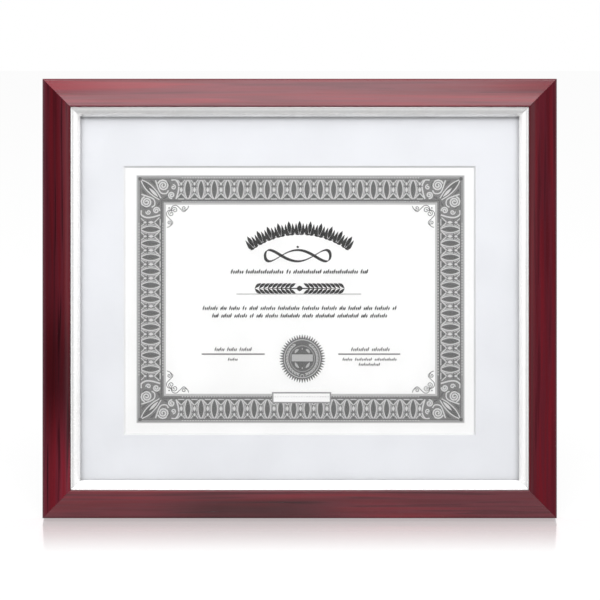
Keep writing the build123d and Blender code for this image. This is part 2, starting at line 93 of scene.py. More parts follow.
RIBBON_LOW, RIBBON_FLAP, RIBBON_MIDDLE, RIBBON_BEND = 95.0, 12.0, 0.25, 1.2

# The ribbon's section: places across it in half widths, where its thicker edges start, and how thick
# it is between them and at the very edge
RIBBON_ACROSS = np.array([-1, -0.97, -0.88, -0.84, -0.4, 0, 0.4, 0.84, 0.88, 0.97, 1])
RIBBON_EDGE, RIBBON_THIN, RIBBON_TIP = 0.86, 0.8, 0.5

LEAN_COS, LEAN_SIN = cos(radians(LEAN_ANGLE)), sin(radians(LEAN_ANGLE))
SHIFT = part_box("glass")[0].y * 1000 + GLASS_LEVEL * LEAN_COS - PACK_BOTTOM * LEAN_SIN


# Points, surfaces and meshes


def lean(points):
    """Upright millimetres to the leaning metres: a turn about X by the lean, then the shift along Y."""
    x, y, z = np.moveaxis(np.asarray(points, float), -1, 0)
    return np.stack([x, y * LEAN_COS + z * LEAN_SIN + SHIFT, z * LEAN_COS - y * LEAN_SIN], -1) / 1000


def turned(points, angle, axes=(0, 1), about=(0, 0)):
    """Points turned in the plane of two axes, from the second towards the first, by an angle in degrees."""
    out = np.array(points, float)
    first, second = (out[..., axis] - middle for axis, middle in zip(axes, about))
    c, s = cos(radians(angle)), sin(radians(angle))
    out[..., axes[0]] = first * c + second * s + about[0]
    out[..., axes[1]] = second * c - first * s + about[1]
    return out


def opened(points):
    """Upright points of the folded leg carried to where it stands open: a turn about the hinge pin."""
    return turned(points, -LEG_OPENING, (1, 2), (PIN_DEPTH, HINGE_HEIGHT))


def grid_faces(rows, columns, ring=False, loop=False):
    """The four corners of every cell of a grid of points. ring joins the last column to the first, and loop
    the last row to the first."""
    row, column = np.meshgrid(np.arange(rows - (not loop)), np.arange(columns - (not ring)), indexing="ij")
    below, after = (row + 1) % rows * columns, (column + 1) % columns
    corners = [row * columns + column, row * columns + after, below + after, below + column]
    return np.stack(corners, -1).reshape(-1, 4)


def end_caps(rows, columns):
    """The first and the last ring of a grid, as the caps that close it."""
    ring = np.arange(columns)
    return [ring[::-1], (rows - 1) * columns + ring]


def make_piece(name, points, faces, caps=(), smooth_angle=None, in_place=False):
    """A mesh object at the origin from an array of upright points, four-cornered faces and any end caps,
    whose corners are listed clockwise as seen from outside."""
    mesh = bpy.data.meshes.new(name)
    places = np.asarray(points, float) if in_place else lean(points)
    polygons = faces[:, ::-1].tolist() + [cap[::-1].tolist() for cap in caps]
    mesh.from_pydata(places.reshape(-1, 3).tolist(), [], polygons)
    if smooth_angle:
        mesh.shade_smooth()
        mesh.set_sharp_from_angle(angle=radians(smooth_angle))
    mesh.validate()
    piece = bpy.data.objects.new(name, mesh)
    bpy.context.scene.collection.objects.link(piece)
    return piece


def finish_piece(piece, body, slot, material, *stands_for):
    """Gives a piece its material and its body, and hides the CAD nodes that it stands for. slot is not used.
    """
    piece.data.materials.append(material)
    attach(piece, body)
    if stands_for:
        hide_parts(*stands_for)


def rounded(corners, radii, steps):
    """A closed outline whose corners are arcs: each arc touches both sides, so its middle lies on the
    corner's bisector at radius / sin(half the corner's angle), and radius 0 keeps the corner sharp."""
    corners = np.asarray(corners, float)
    out = []
    for corner, before, after, radius in zip(corners, np.roll(corners, 1, 0), np.roll(corners, -1, 0), radii):
        if radius == 0:
            out.append(corner[None])
            continue
        to_before = (before - corner) / np.linalg.norm(before - corner)
        to_after = (after - corner) / np.linalg.norm(after - corner)
        half = np.arccos(np.clip(to_before @ to_after, -1, 1)) / 2
        reach = radius / np.tan(half)
        bisector = (to_before + to_after) / np.linalg.norm(to_before + to_after)
        middle = corner + bisector * radius / np.sin(half)
        start, end = corner + to_before * reach - middle, corner + to_after * reach - middle
        turn = np.linspace(0, 1, steps)[:, None]
        arc = start * (1 - turn) + end * turn
        out.append(middle + arc * radius / np.linalg.norm(arc, axis=1)[:, None])
    return np.concatenate(out)


def bulged(outline, start, end, rise, reach=2.5):
    """Lifts the points that lie within reach of the line from start to end by a parabola that is rise high
    midway."""
    start, end = np.asarray(start, float), np.asarray(end, float)
    chord = end - start
    normal = np.array([-chord[1], chord[0]]) / np.linalg.norm(chord)
    share = np.clip((outline - start) @ chord / (chord @ chord), 0, 1)
    near = np.clip(1 - np.abs((outline - start) @ normal) / reach, 0, 1)
    return outline + (rise * 4 * share * (1 - share) * near)[:, None] * normal


def divided(outline, longest):
    """The closed outline with points added so that no step along it is longer than given."""
    step = np.roll(outline, -1, 0) - outline
    parts = np.maximum(1, np.ceil(np.linalg.norm(step, axis=1) / longest)).astype(int)
    shares = np.concatenate([np.arange(n) / n for n in parts])
    return np.repeat(outline, parts, 0) + np.repeat(step, parts, 0) * shares[:, None]


def mitred_bar(name, section, side, gap, rows=33, sharp=28):
    """The closed section, depth and inset from the frame's outer edge, carried along one side of the frame.
    At share s from -1 to 1 along it, the point that is inset by z stands at s (half the side - z - gap),
    which makes both ends the 45 degree mitres."""
    half = (FRAME_WIDTH if side in ("top", "bottom") else FRAME_HEIGHT) / 2
    depth, inset = section.T
    along = np.linspace(-1, 1, rows)[:, None] * (half - inset - gap)
    along, depth, inset = np.broadcast_arrays(along, depth, inset)
    x, z = {
        "bottom": (along, inset),
        "top": (-along, FRAME_HEIGHT - inset),
        "left": (inset - FRAME_WIDTH / 2, FRAME_HEIGHT / 2 - along),
        "right": (FRAME_WIDTH / 2 - inset, FRAME_HEIGHT / 2 + along),
    }[side]
    faces = grid_faces(rows, len(section), ring=True)
    return make_piece(name, np.stack([x, -depth, z], -1), faces, end_caps(rows, len(section)), sharp)


def wood_section(settings):
    """The wood moulding: the crowned face falls back to the outer edge, whose arris is a quarter round."""
    edge, crest = (RAIL_EDGE_DEPTH, 0), (RAIL_DEPTH, RAIL_WIDTH)
    back = settings.back_set
    lip = [(LINER_SEAT, RAIL_WIDTH), (LINER_SEAT, RAIL_RABBET)]
    corners = [edge, crest, *lip, (back, RAIL_RABBET), (back, 0)]
    outline = divided(rounded(corners, WOOD_ROUNDS, steps=9), longest=1.2)
    return bulged(outline, edge, crest, settings.crown_rise)


def silver_section(settings):
    """The liner: a flange under the wood's lip, a narrow ridge, a scooped slope and a rabbet for the pack."""
    ridge, lip = (LINER_RIDGE_LEVEL, LINER_RIDGE_END), (LINER_LIP_LEVEL, LINER_SIGHT)
    corners = [ridge, lip, (GLASS_LEVEL, LINER_SIGHT), (GLASS_LEVEL, LINER_RABBET)]
    corners += [(BOARD_LEVEL, LINER_RABBET), (BOARD_LEVEL, LINER_OUTER), (LINER_SEAT, LINER_OUTER)]
    corners += [(LINER_SEAT, LINER_RIDGE_START), (LINER_RIDGE_LEVEL, LINER_RIDGE_START)]
    outline = divided(rounded(corners, SILVER_ROUNDS, steps=5), longest=0.8)
    return bulged(outline, ridge, lip, -settings.scoop)


def copies_of(points, faces, caps, places, turns=None):
    """Copies of a shape on its axis along Y, one at each X and Z and turned about that axis, as one set of
    points, faces and caps."""
    turns = turns or [0] * len(places)
    copies = [turned(points, turn, (0, 2)) + [x, 0, z] for (x, z), turn in zip(places, turns)]
    starts = np.arange(len(places)) * len(points)
    faces = np.concatenate([faces + start for start in starts])
    return np.concatenate(copies), faces, [cap + start for start in starts for cap in caps]


def lathed(profile, steps):
    """A shape turned on Y: each row of the profile, a radius and a level, becomes a ring of that radius."""
    radius, level = profile.T[..., None]
    turn = np.linspace(0, 2 * pi, steps, endpoint=False)
    points = np.stack([radius * np.cos(turn), level + 0 * turn, -radius * np.sin(turn)], -1)
    return points.reshape(-1, 3), grid_faces(len(radius), steps, ring=True), end_caps(len(radius), steps)


def domed_profile(head, level, shank_radius, length):
    """A fastener's outline: a quarter ellipse from the crown to a low rim, which is a quarter of the head's
    height, and the shank below it."""
    radius, height = head
    turn = np.linspace(0.05, 1, 9) * pi / 2
    rim = height / 4
    dome = np.stack([radius * np.sin(turn), level + rim + (height - rim) * np.cos(turn)], -1)
    return np.concatenate([dome, [[radius, level], [shank_radius, level], [shank_radius, level - length]]])


def pan_head():
    """A pan-head screw on Y. Its top is a square grid whose middle is left square and whose outer rings
    are drawn into circles; the cross is the grid points within its arms, sunk and deepest in the middle."""
    radius, height = SCREW_HEAD
    arm, half = CROSS_ARM / radius, CROSS_HALF / radius
    square = (CROSS_ARM + 0.06) / radius
    beside = (CROSS_HALF + 0.09) / radius
    lines = np.array([1, 0.95, 0.86, 0.74, square + 0.02, square, square * 0.6, beside, half])
    lines = np.concatenate([-lines, [0], lines[::-1]])
    a, b = np.meshgrid(lines, lines)
    thin, wide = np.minimum(np.abs(a), np.abs(b)), np.maximum(np.abs(a), np.abs(b))
    pull = np.clip((wide - square) / (1 - square), 0, 1)
    drawn = radius * (1 - pull + pull * wide / np.maximum(np.hypot(a, b), 1e-9))
    x, z = a * drawn, b * drawn
    out = np.minimum(np.hypot(x, z) / radius, 1)
    level = SCREW_SEAT + height * (0.45 + 0.55 * np.sqrt(1 - out**3.4))
    level -= np.where((thin <= half + 0.001) & (wide <= arm + 0.021), CROSS_DEPTH - 0.5 * out, 0)
    top = np.stack([x, level, z], -1).reshape(-1, 3)
    size = len(lines)
    index = np.arange(size * size).reshape(size, size)
    rim = np.concatenate([index[0, :-1], index[:-1, -1], index[-1, :0:-1], index[:0:-1, 0]])
    shank = SCREW_RADIUS / radius
    below = [(1, SCREW_SEAT), (shank, SCREW_SEAT), (shank, SCREW_SEAT - SCREW_LENGTH)]
    rings = [top[rim] * [share, 0, share] + [0, depth, 0] for share, depth in below]
    rows = np.concatenate([rim[None], size * size + np.arange(3 * len(rim)).reshape(3, -1)])
    ahead = np.roll(rows, -1, 1)
    sides = np.stack([rows[:-1], rows[1:], ahead[1:], ahead[:-1]], -1).reshape(-1, 4)
    return np.concatenate([top, *rings]), np.concatenate([grid_faces(size, size), sides]), [rows[-1][::-1]]


# The print: strokes of ink on the sheet, from the middle of the mat's window, X across and Y up

INK_SUNK = 0.05
LEVEL_TINT, LEVEL_WHITE, LEVEL_DARK, LEVEL_OVER, LEVEL_TOP = 0.08, 0.14, 0.2, 0.26, 0.32
BORDER_WIDTH, BORDER_HEIGHT = 250.1, 188.7
BORDER_PLACE = np.array([0.65, 0.96])
LENS_PITCH = 10.15
TOP_LENSES, SIDE_LENSES = (18, 10.15), (11, 10.7)


def slab(left, right, level, closed=False):
    """Thin slabs of ink between two edges, arrays of strokes by points by X and Y, from just under the
    sheet's surface up to the level. closed joins each one's last point to its first."""
    count, length = left.shape[:2]
    top = np.full((count, length, 1), SHEET_LEVEL + level)
    bottom = np.full_like(top, SHEET_LEVEL - INK_SUNK)
    edges = [(left, top), (left, bottom), (right, bottom), (right, top)]
    rows = np.stack([np.concatenate([xy, depth], -1) for xy, depth in edges], 2)
    points = np.stack([rows[..., 0], -rows[..., 2], rows[..., 1] + PACK_MIDDLE], -1)
    faces = grid_faces(length, 4, ring=True, loop=closed)
    if not closed:
        faces = np.concatenate([faces, end_caps(length, 4)])
    faces = faces + np.arange(count)[:, None, None] * 4 * length
    return points.reshape(-1, 3), faces.reshape(-1, 4)


def stroke(paths, half_widths, level, closed=False):
    """Slabs along a path or an array of paths. Each edge lies half a width to one side of the path, square
    to its direction."""
    paths = np.asarray(paths, float).reshape(-1, *np.shape(paths)[-2:])
    widths = np.broadcast_to(half_widths, paths.shape[:2])[..., None]
    if closed:
        ahead = np.roll(paths, -1, 1) - np.roll(paths, 1, 1)
    else:
        ahead = np.gradient(paths, axis=1)
    ahead = ahead / np.linalg.norm(ahead, axis=-1, keepdims=True)
    aside = np.stack([-ahead[..., 1], ahead[..., 0]], -1) * widths
    return slab(paths + aside, paths - aside, level, closed)


def mitred_ring(half_sizes, half_width, level, place):
    """A rectangular slab ring whose corners are true mitres: each corner moves the same distance along
    both axes."""
    signs = np.array([[[1, -1], [1, 1], [-1, 1], [-1, -1]]])
    middle = signs * half_sizes + place
    return slab(middle - signs * half_width, middle + signs * half_width, level, closed=True)


def frame_band(outer, inner, level):
    """A rectangular ring of the border, between two distances in from its outer edge."""
    half_sizes = np.array([BORDER_WIDTH, BORDER_HEIGHT]) / 2 - (outer + inner) / 2
    return mitred_ring(half_sizes, (inner - outer) / 2, level, BORDER_PLACE)


def ink_piece(name, strokes, tone):
    """One piece from many strokes of the same ink."""
    offsets = np.cumsum([0] + [len(points) for points, _ in strokes[:-1]])
    points = np.concatenate([points for points, _ in strokes])
    faces = np.concatenate([faces + offset for (_, faces), offset in zip(strokes, offsets)])
    piece = make_piece(f"print_{name}", points, faces)
    finish_piece(piece, "frame", "paper", ink_finish(f"ink_{name}", tone))


def line(start, end, steps=2):
    """A straight path from start to end, or an array of them where these are arrays of points."""
    share = np.linspace(0, 1, steps)[:, None]
    start, end = (np.asarray(point, float)[..., None, :] for point in (start, end))
    return start * (1 - share) + end * share


def swelling(steps, widest, tip=0.03, middle=0.5):
    """Half widths of a pointed lens: widest times the sine of half a turn along it, pushed to its middle."""
    share = np.linspace(0, 1, steps) ** (np.log(0.5) / np.log(middle))
    return np.maximum(tip, widest * np.sin(pi * share))


def disc(centres, radius, level, steps=9):
    """Round spots: strokes along X whose half width at c is the root of radius squared less c squared."""
    turn = np.linspace(0, pi, steps)
    along = np.stack([-np.cos(turn) * radius, 0 * turn], -1)
    return stroke(np.atleast_2d(centres)[:, None] + along, np.maximum(0.02, np.sin(turn) * radius), level)


def circle(centre, radius, steps=96):
    """A closed round path."""
    turn = np.linspace(0, 2 * pi, steps, endpoint=False)
    return np.stack([np.cos(turn), np.sin(turn)], -1) * radius + centre


def spiral(centre, radius, turns, start, inner=0.12, steps=26):
    """A path that winds in: the radius shrinks evenly to a small share of itself over the turns."""
    share = np.linspace(0, 1, steps)
    turn = radians(start) + share * turns * 2 * pi
    reach = radius * (1 - share * (1 - inner))
    return np.stack([np.cos(turn), np.sin(turn)], -1) * reach[:, None] + centre


def wave(points, steps=18):
    """A smooth path through a few points: Catmull-Rom cubics between each pair."""
    points = np.asarray(points, float)
    whole = np.concatenate([2 * points[:1] - points[1:2], points, 2 * points[-1:] - points[-2:-1]])
    share = np.linspace(0, len(points) - 1, steps)
    span = np.minimum(share.astype(int), len(points) - 2)
    t = (share - span)[:, None]
    a, b, c, d = (whole[span + k] for k in range(4))
    return 0.5 * (2 * b + (c - a) * t + (2 * a - 5 * b + 4 * c - d) * t**2 + (3 * b - a - 3 * c + d) * t**3)


def round_border(path, offset=0.0):
    """Copies a path, given along a side and in from the border's edge, to every lens of all four sides, or
    between the lenses when the offset is half a pitch."""
    copies = []
    half_sizes = (BORDER_WIDTH / 2, BORDER_HEIGHT / 2)
    for axis, (count, pitch) in enumerate((TOP_LENSES, SIDE_LENSES)):
        count += offset != 0
        steps = np.arange(count) - (count - 1) / 2
        along = steps[:, None] * pitch + path[None, :, 0] * pitch / LENS_PITCH
        in_from = half_sizes[1 - axis] - np.broadcast_to(path[None, :, 1], along.shape)
        for sign in (1, -1):
            xy = np.stack([along, in_from * sign], -1)
            copies.append((xy[..., ::-1] if axis else xy) + BORDER_PLACE)
    return np.concatenate(copies)


def corners_of(paths, both=True):
    """Copies a path, given from a corner of the border inwards, to the four corners, each with its mirror
    image in the diagonal."""
    paths = paths[None]
    if both:
        paths = np.concatenate([paths, paths[..., ::-1]])
    place = np.array([BORDER_WIDTH / 2, BORDER_HEIGHT / 2]) - paths
    signs = np.array([[1, 1], [-1, 1], [1, -1], [-1, -1]])[:, None, None]
    return (place * signs + BORDER_PLACE).reshape(-1, *paths.shape[1:])


# The border. A band is where it starts and ends, in from the border's edge, and its level
BORDER_BANDS = {
    "edge": [(-0.5, 2.3, LEVEL_TINT)],
    "tint": [(2.3, 20.4, LEVEL_TINT)],
    "pale": [(-0.5, 0.3, LEVEL_WHITE), (20.3, 21.9, LEVEL_WHITE)],
    "white": [],
    "dark": [(2.0, 2.55, LEVEL_DARK), (18.2, 19.0, LEVEL_DARK)],
}

# At each pitch of the border: a dark lens, and white bows round it, as how far they bulge and stand aside and
# their half width. Between two lenses: paths, as X and the distance in from the edge, with their half widths
LENS = (line((0, 3.3), (0, 17.4), 9), swelling(9, 1.5, middle=0.45))
LENS_BOWS = [(1.0, 0.0, 0.4), (1.1, 0.85, 0.18)]
BOW_START, BOW_LENGTH, BOW_BULGE, BOW_ASIDE, BOW_POWER = 3.0, 14.8, 2.2, 0.3, 0.8
WHITE_BETWEEN = [
    (line((0, 4.7), (0, 7.3), 5), swelling(5, 0.85)),
    (line((0, 8.5), (0, 12.7), 5), swelling(5, 1.05)),
    *((line((side * 2.9, 2.9), (side * 1.0, 5.2)), 0.3) for side in (-1, 1)),
    *((line((side * 3.5, 17.0), (side * 0.2, 13.3)), 0.34) for side in (-1, 1)),
    (line((-2.3, 17.6), (2.3, 17.6)), 0.34),
]
DARK_BETWEEN = [
    (line((-0.8, 3.75), (0.8, 3.75), 5), swelling(5, 0.8)),
    (line((-2.3, 7.9), (2.3, 7.9)), 0.26),
    (line((0, 14.3), (0, 16.7)), [0.05, 1.9]),
]
BEAD_SHARES, BEAD_INSETS, BEAD_REACH_SHARE = (-0.4, -0.2, 0.0, 0.2, 0.4), (1.35, 19.65), 0.06
BEAD_WIDTHS = [0.1, 0.42, 0.1]

# The corner blocks and the flourishes inside them, from the border's outer corner, with their half widths
CORNER_SCROLLS = [
    (spiral((19.9, 7.2), 4.4, 2.2, 200), 0.588),
    (spiral((26.4, 14.6), 2.7, 1.7, 80), 0.532),
    (spiral((27.6, 8.6), 2.0, 1.3, 260), 0.448),
    (wave([(26.2, 3.1), (29.4, 3.0), (31.7, 6.6), (31.5, 11.6), (29.8, 17.6)]), 0.588),
    (wave([(3.6, 2.9), (9.5, 6.2), (14.8, 11.6), (18.2, 17.0)]), 0.42),
    (wave([(14.0, 3.3), (17.5, 12.2), (22.0, 13.4), (24.0, 11.0)]), 0.476),
]
CORNER_CORE = (line((9.0, 9.0), (16.2, 16.2), 7), swelling(7, 1.05))
CORNER_LEAF = (line((3.7, 3.7), (18.0, 18.0), 11), swelling(11, 2.0, middle=0.4))
CORNER_LEAVES = [
    (wave([(9.5, 3.6), (11.8, 4.6), (14.4, 7.8)], 9), swelling(9, 0.9)),
    (wave([(19.2, 17.6), (21.6, 16.6), (23.4, 15.0)], 9), swelling(9, 0.7)),
    (wave([(22.6, 4.0), (24.4, 6.0), (24.4, 9.2)], 9), swelling(9, 0.6)),
]
CORNER_SPOT, CORNER_SPOT_RADIUS = np.array([[2.2, 2.2]]), 1.35
FLOURISH = [(25.6, 26.6), (27.0, 23.2), (29.9, 22.5), (32.5, 24.6), (35.7, 27.3), (38.5, 25.0), (39.4, 22.9)]
INNER_SCROLLS = [
    (wave(FLOURISH, 30), 0.26),
    (spiral((28.7, 26.1), 2.5, 1.5, 150), 0.26),
    (spiral((35.9, 24.6), 1.9, 1.4, 20), 0.26),
    (line((24.0, 24.0), (24.9, 24.9), 5), swelling(5, 0.6)),
]


def border_strokes():
    """The border's strokes by ink: its bands, its lenses with what stands round and between them, its beads
    and its corner blocks."""
    inks = {ink: [frame_band(*band) for band in bands] for ink, bands in BORDER_BANDS.items()}
    white, dark = inks["white"], inks["dark"]
    share = np.linspace(0, 1, 9)
    bulge = BOW_BULGE * np.sin(pi * share) ** BOW_POWER + BOW_ASIDE
    for swell, aside, width in LENS_BOWS:
        for side in (-1, 1):
            bow = np.stack([side * (bulge * swell + aside), BOW_START + BOW_LENGTH * share], -1)
            white.append(stroke(round_border(bow), width, LEVEL_WHITE))
    dark.append(stroke(round_border(LENS[0]), LENS[1], LEVEL_DARK))
    for ink, level, paths in ((white, LEVEL_WHITE, WHITE_BETWEEN), (dark, LEVEL_DARK, DARK_BETWEEN)):
        ink += [stroke(round_border(path, LENS_PITCH / 2), width, level) for path, width in paths]
    for middle in BEAD_SHARES:
        for inset in BEAD_INSETS:
            start, end = (((middle + side * BEAD_REACH_SHARE) * LENS_PITCH, inset) for side in (-1, 1))
            white.append(stroke(round_border(line(start, end, 3)), BEAD_WIDTHS, LEVEL_OVER))

    white += [stroke(corners_of(path), width, LEVEL_WHITE) for path, width in CORNER_SCROLLS]
    white.append(stroke(corners_of(CORNER_CORE[0], both=False), CORNER_CORE[1], LEVEL_OVER))
    dark.append(stroke(corners_of(CORNER_LEAF[0], both=False), CORNER_LEAF[1], LEVEL_DARK))
    dark += [stroke(corners_of(path), width, LEVEL_DARK) for path, width in CORNER_LEAVES]
    dark.append(disc(corners_of(CORNER_SPOT, both=False)[:, 0], CORNER_SPOT_RADIUS, LEVEL_OVER))
    dark += [stroke(corners_of(path), width, LEVEL_TINT) for path, width in INNER_SCROLLS]
    return inks


# The middle of the sheet. A palmette's parts are a stem, a tall leaf, a low leaf and a foot
GARLAND_COUNT, GARLAND_ANGLE = 11, 33.6
GARLAND_RADIUS, GARLAND_MIDDLE = 62.1, -11.6
PALMETTE = [
    (line((0, 0), (0, 10.6), 9), swelling(9, 1.5, middle=0.55)),
    (wave([(0.7, 1.0), (2.5, 4.0), (2.75, 8.8)], 9), swelling(9, 1.1)),
    (wave([(0.9, 0.9), (2.9, 1.7), (3.8, 4.6)], 7), swelling(7, 0.85)),
    (line((-0.4, 0.2), (3.7, 0.5), 5), swelling(5, 0.8)),
]
KNOT_PLACE, KNOT_REACH, KNOT_RISE = (-1.5, 34.3), 25.0, 4.3
NIB_ANGLE, NIB_THIN, NIB_BROAD = 35, 0.3, 0.85
KNOT_DOT, KNOT_DOT_RADIUS = (-1.5, 41.0), 0.9
LAUREL_RISE, LAUREL_REACH, LAUREL_LEAVES = 9.2, 33.0, np.linspace(8.0, 34.4, 9)
LAUREL_LEAF = wave([(0, 0), (-2.4, 2.4), (-5.0, 3.9)], 7)


def garland():
    """The arch of palmettes: each part stands on both sides of its palmette, which is turned about the
    arch's middle by its own angle."""
    strokes = []
    for angle in np.linspace(-GARLAND_ANGLE, GARLAND_ANGLE, GARLAND_COUNT):
        for path, width in PALMETTE:
            for side in (1, -1):
                place = turned(path * [side, 1] + [0, GARLAND_RADIUS], angle)
                strokes.append(stroke(place + [0, GARLAND_MIDDLE], width, LEVEL_TINT))
    return strokes


def pen_knot():
    """The pen's knot under the garland: three loops of a figure whose X is a sine and Y a cosine three times
    as fast, drawn with a broad nib, so that the line is thin where it runs along the nib."""
    turn = np.linspace(0, 2 * pi, 180, endpoint=False)
    path = np.stack([KNOT_REACH * np.sin(turn), KNOT_RISE * np.cos(3 * turn)], -1)
    heading = np.arctan2(-3 * KNOT_RISE * np.sin(3 * turn), KNOT_REACH * np.cos(turn))
    width = NIB_THIN + NIB_BROAD * np.abs(np.sin(heading - radians(NIB_ANGLE)))
    return stroke(path + KNOT_PLACE, width, LEVEL_TINT, closed=True)


def laurel_rule():
    """Two laurel sprays that meet at a lozenge: leaves in pairs along a stem, pointing to the middle."""
    stem = line((-LAUREL_REACH, LAUREL_RISE), (LAUREL_REACH, LAUREL_RISE), 9)
    strokes = [stroke(stem, swelling(9, 0.45), LEVEL_TINT)]
    leaves = LAUREL_LEAF + np.stack([LAUREL_LEAVES, 0 * LAUREL_LEAVES], -1)[:, None]
    for side in (1, -1):
        for up in (1, -1):
            strokes.append(stroke(leaves * [side, up] + [0, LAUREL_RISE], swelling(7, 1.15), LEVEL_TINT))
    lozenge = line((-2.6, LAUREL_RISE), (2.6, LAUREL_RISE), 5)
    strokes.append(stroke(lozenge, swelling(5, 2.2), LEVEL_TINT))
    return strokes


def uneven_runs(start, end, lengths, gap=1.9):
    """Uneven runs with equal gaps between them, in the ratio of the lengths, from start to end."""
    lengths = np.array(lengths, float)
    lengths *= (end - start - gap * (len(lengths) - 1)) / lengths.sum()
    starts = start + np.concatenate([[0], np.cumsum(lengths[:-1] + gap)])
    return list(zip(starts, starts + lengths))


# Rows of hatching: the runs along X, the row's middle, its height and the pitch of its marks
HEAD_RUNS = [(-52.8, -42.9), (-41.3, -12.3), (-10.3, -6.5), (-5.0, 16.8), (18.0, 44.8), (46.7, 52.4)]
BODY_ROWS = [
    (HEAD_RUNS, 22.2, 4.0, 1.6),
    (uneven_runs(-74.3, 74.3, [7, 3, 5, 2, 4, 7, 10, 8, 7, 3, 6, 4, 7, 2]), -5.7, 3.9, 1.4),
    (uneven_runs(-67.0, 67.0, [3, 5, 6, 2, 3, 6, 9, 5, 9, 10, 3, 8]), -11.5, 3.9, 1.4),
]
RULE_ROWS = [
    (uneven_runs(-65.1, -36.6, [4, 4, 5]), -37.3, 3.6, 1.35),
    (uneven_runs(-55.0, -47.4, [1]), -45.0, 2.8, 1.3),
    (uneven_runs(39.4, 69.0, [6, 6]), -37.3, 3.6, 1.35),
    (uneven_runs(32.8, 74.3, [4, 7, 9]), -45.0, 2.8, 1.3),
    (uneven_runs(45.2, 61.6, [1]), -48.9, 2.8, 1.3),
]
HATCH_SLANT, HATCH_LOW, HATCH_WEIGHT = 0.3, 0.72, 0.42

# Rules: where each starts and ends along X, its height on the sheet and its half width
RULES = [(-48.4, 47.1, 4.9, 0.24), (-75.0, -26.8, -41.1, 0.52), (29.6, 77.0, -41.1, 0.52)]


def hatched_row(runs, middle, height, pitch):
    """Runs of slanting hatch marks along a row: pointed strokes at each pitch, every third one taller."""
    places = []
    for start, end in runs:
        count = max(2, int(round((end - start) / pitch)))
        places.append(start + (np.arange(count) + 0.5) * (end - start) / count)
    places = np.concatenate(places)
    rise = height * np.where(np.arange(len(places)) % 3 == 0, 1.0, HATCH_LOW)
    slant = HATCH_SLANT * rise
    foot = np.stack([places - slant / 2, np.full_like(places, middle - height / 2)], -1)
    marks = line(foot, foot + np.stack([slant, rise], -1), steps=4)
    return stroke(marks, swelling(4, pitch * HATCH_WEIGHT), LEVEL_TINT)


def middle_strokes():
    """The strokes inside the border by ink: ornaments, rows of hatching, and rules with the rows at them."""
    rules = [(line((start, height), (end, height)), half) for start, end, height, half in RULES]
    rules = [stroke(path, half, LEVEL_TINT) for path, half in rules]
    return {
        "black": garland() + [pen_knot()] + laurel_rule() + [disc(KNOT_DOT, KNOT_DOT_RADIUS, LEVEL_TINT)],
        "rows": [hatched_row(*row) for row in BODY_ROWS],
        "rules": rules + [hatched_row(*row) for row in RULE_ROWS],
    }


# The seal: its radii, its teeth as half widths from valley to tip, and its rings with their half widths
SEAL_PLACE, SEAL_SHAPE = (2.0, -44.6), (0.975, 1.03)
SEAL_RADIUS, SEAL_VALLEY, SEAL_HEART, SEAL_OVERLAP = 17.9, 15.2, 8.7, 0.3
SEAL_TEETH, SEAL_TOOTH, TOOTH_ROOT, TOOTH_SHOULDER = 52, [0.86, 0.62, 0.14], 0.2, 0.8
SEAL_RINGS = [(14.1, 0.38), (9.6, 0.16)]

# The wreath's leaf, how far its two rows tilt and stand out from the middle of the wreath, and their angles
WREATH_RADIUS, WREATH_ROWS, WREATH_ANGLES = 11.7, ((10, 0.5), (-18, -0.45)), np.linspace(17, 148, 13)
WREATH_LEAF = wave([(-1.4, -0.3), (0, 0.15), (1.4, 0.3)], 5)
SEAL_PETALS = [[(5.9, 4.0), (4.6, 5.9), (2.6, 7.0)], [(5.8, -2.6), (4.5, -5.0), (2.4, -7.0)]]
SEAL_DOTS, DOT_RADIUS = [(0, 7.3), (0, -7.0)], 0.5
BAND_REACH, BAND_HEIGHT, BAND_HALF = 8.3, 0.6, 2.6
KNOB_PLACE, KNOB_RADIUS = (0, -13.0), 1.3
BOX_MIDDLE, BOX_HALF_SIZES = np.array([1.5, -74.45]), np.array([22.2, 3.85])
BOX_EDGE_INSET, BOX_EDGE_HALF = 0.1, 0.55


def placed(strokes):
    """Strokes about the origin drawn out to the seal's slight oval and moved to its place."""
    middle = np.array([0, 0, PACK_MIDDLE])
    place = middle + [SEAL_PLACE[0], 0, SEAL_PLACE[1]]
    shape = [SEAL_SHAPE[0], 1, SEAL_SHAPE[1]]
    return [((points - middle) * shape + place, faces) for points, faces in strokes]


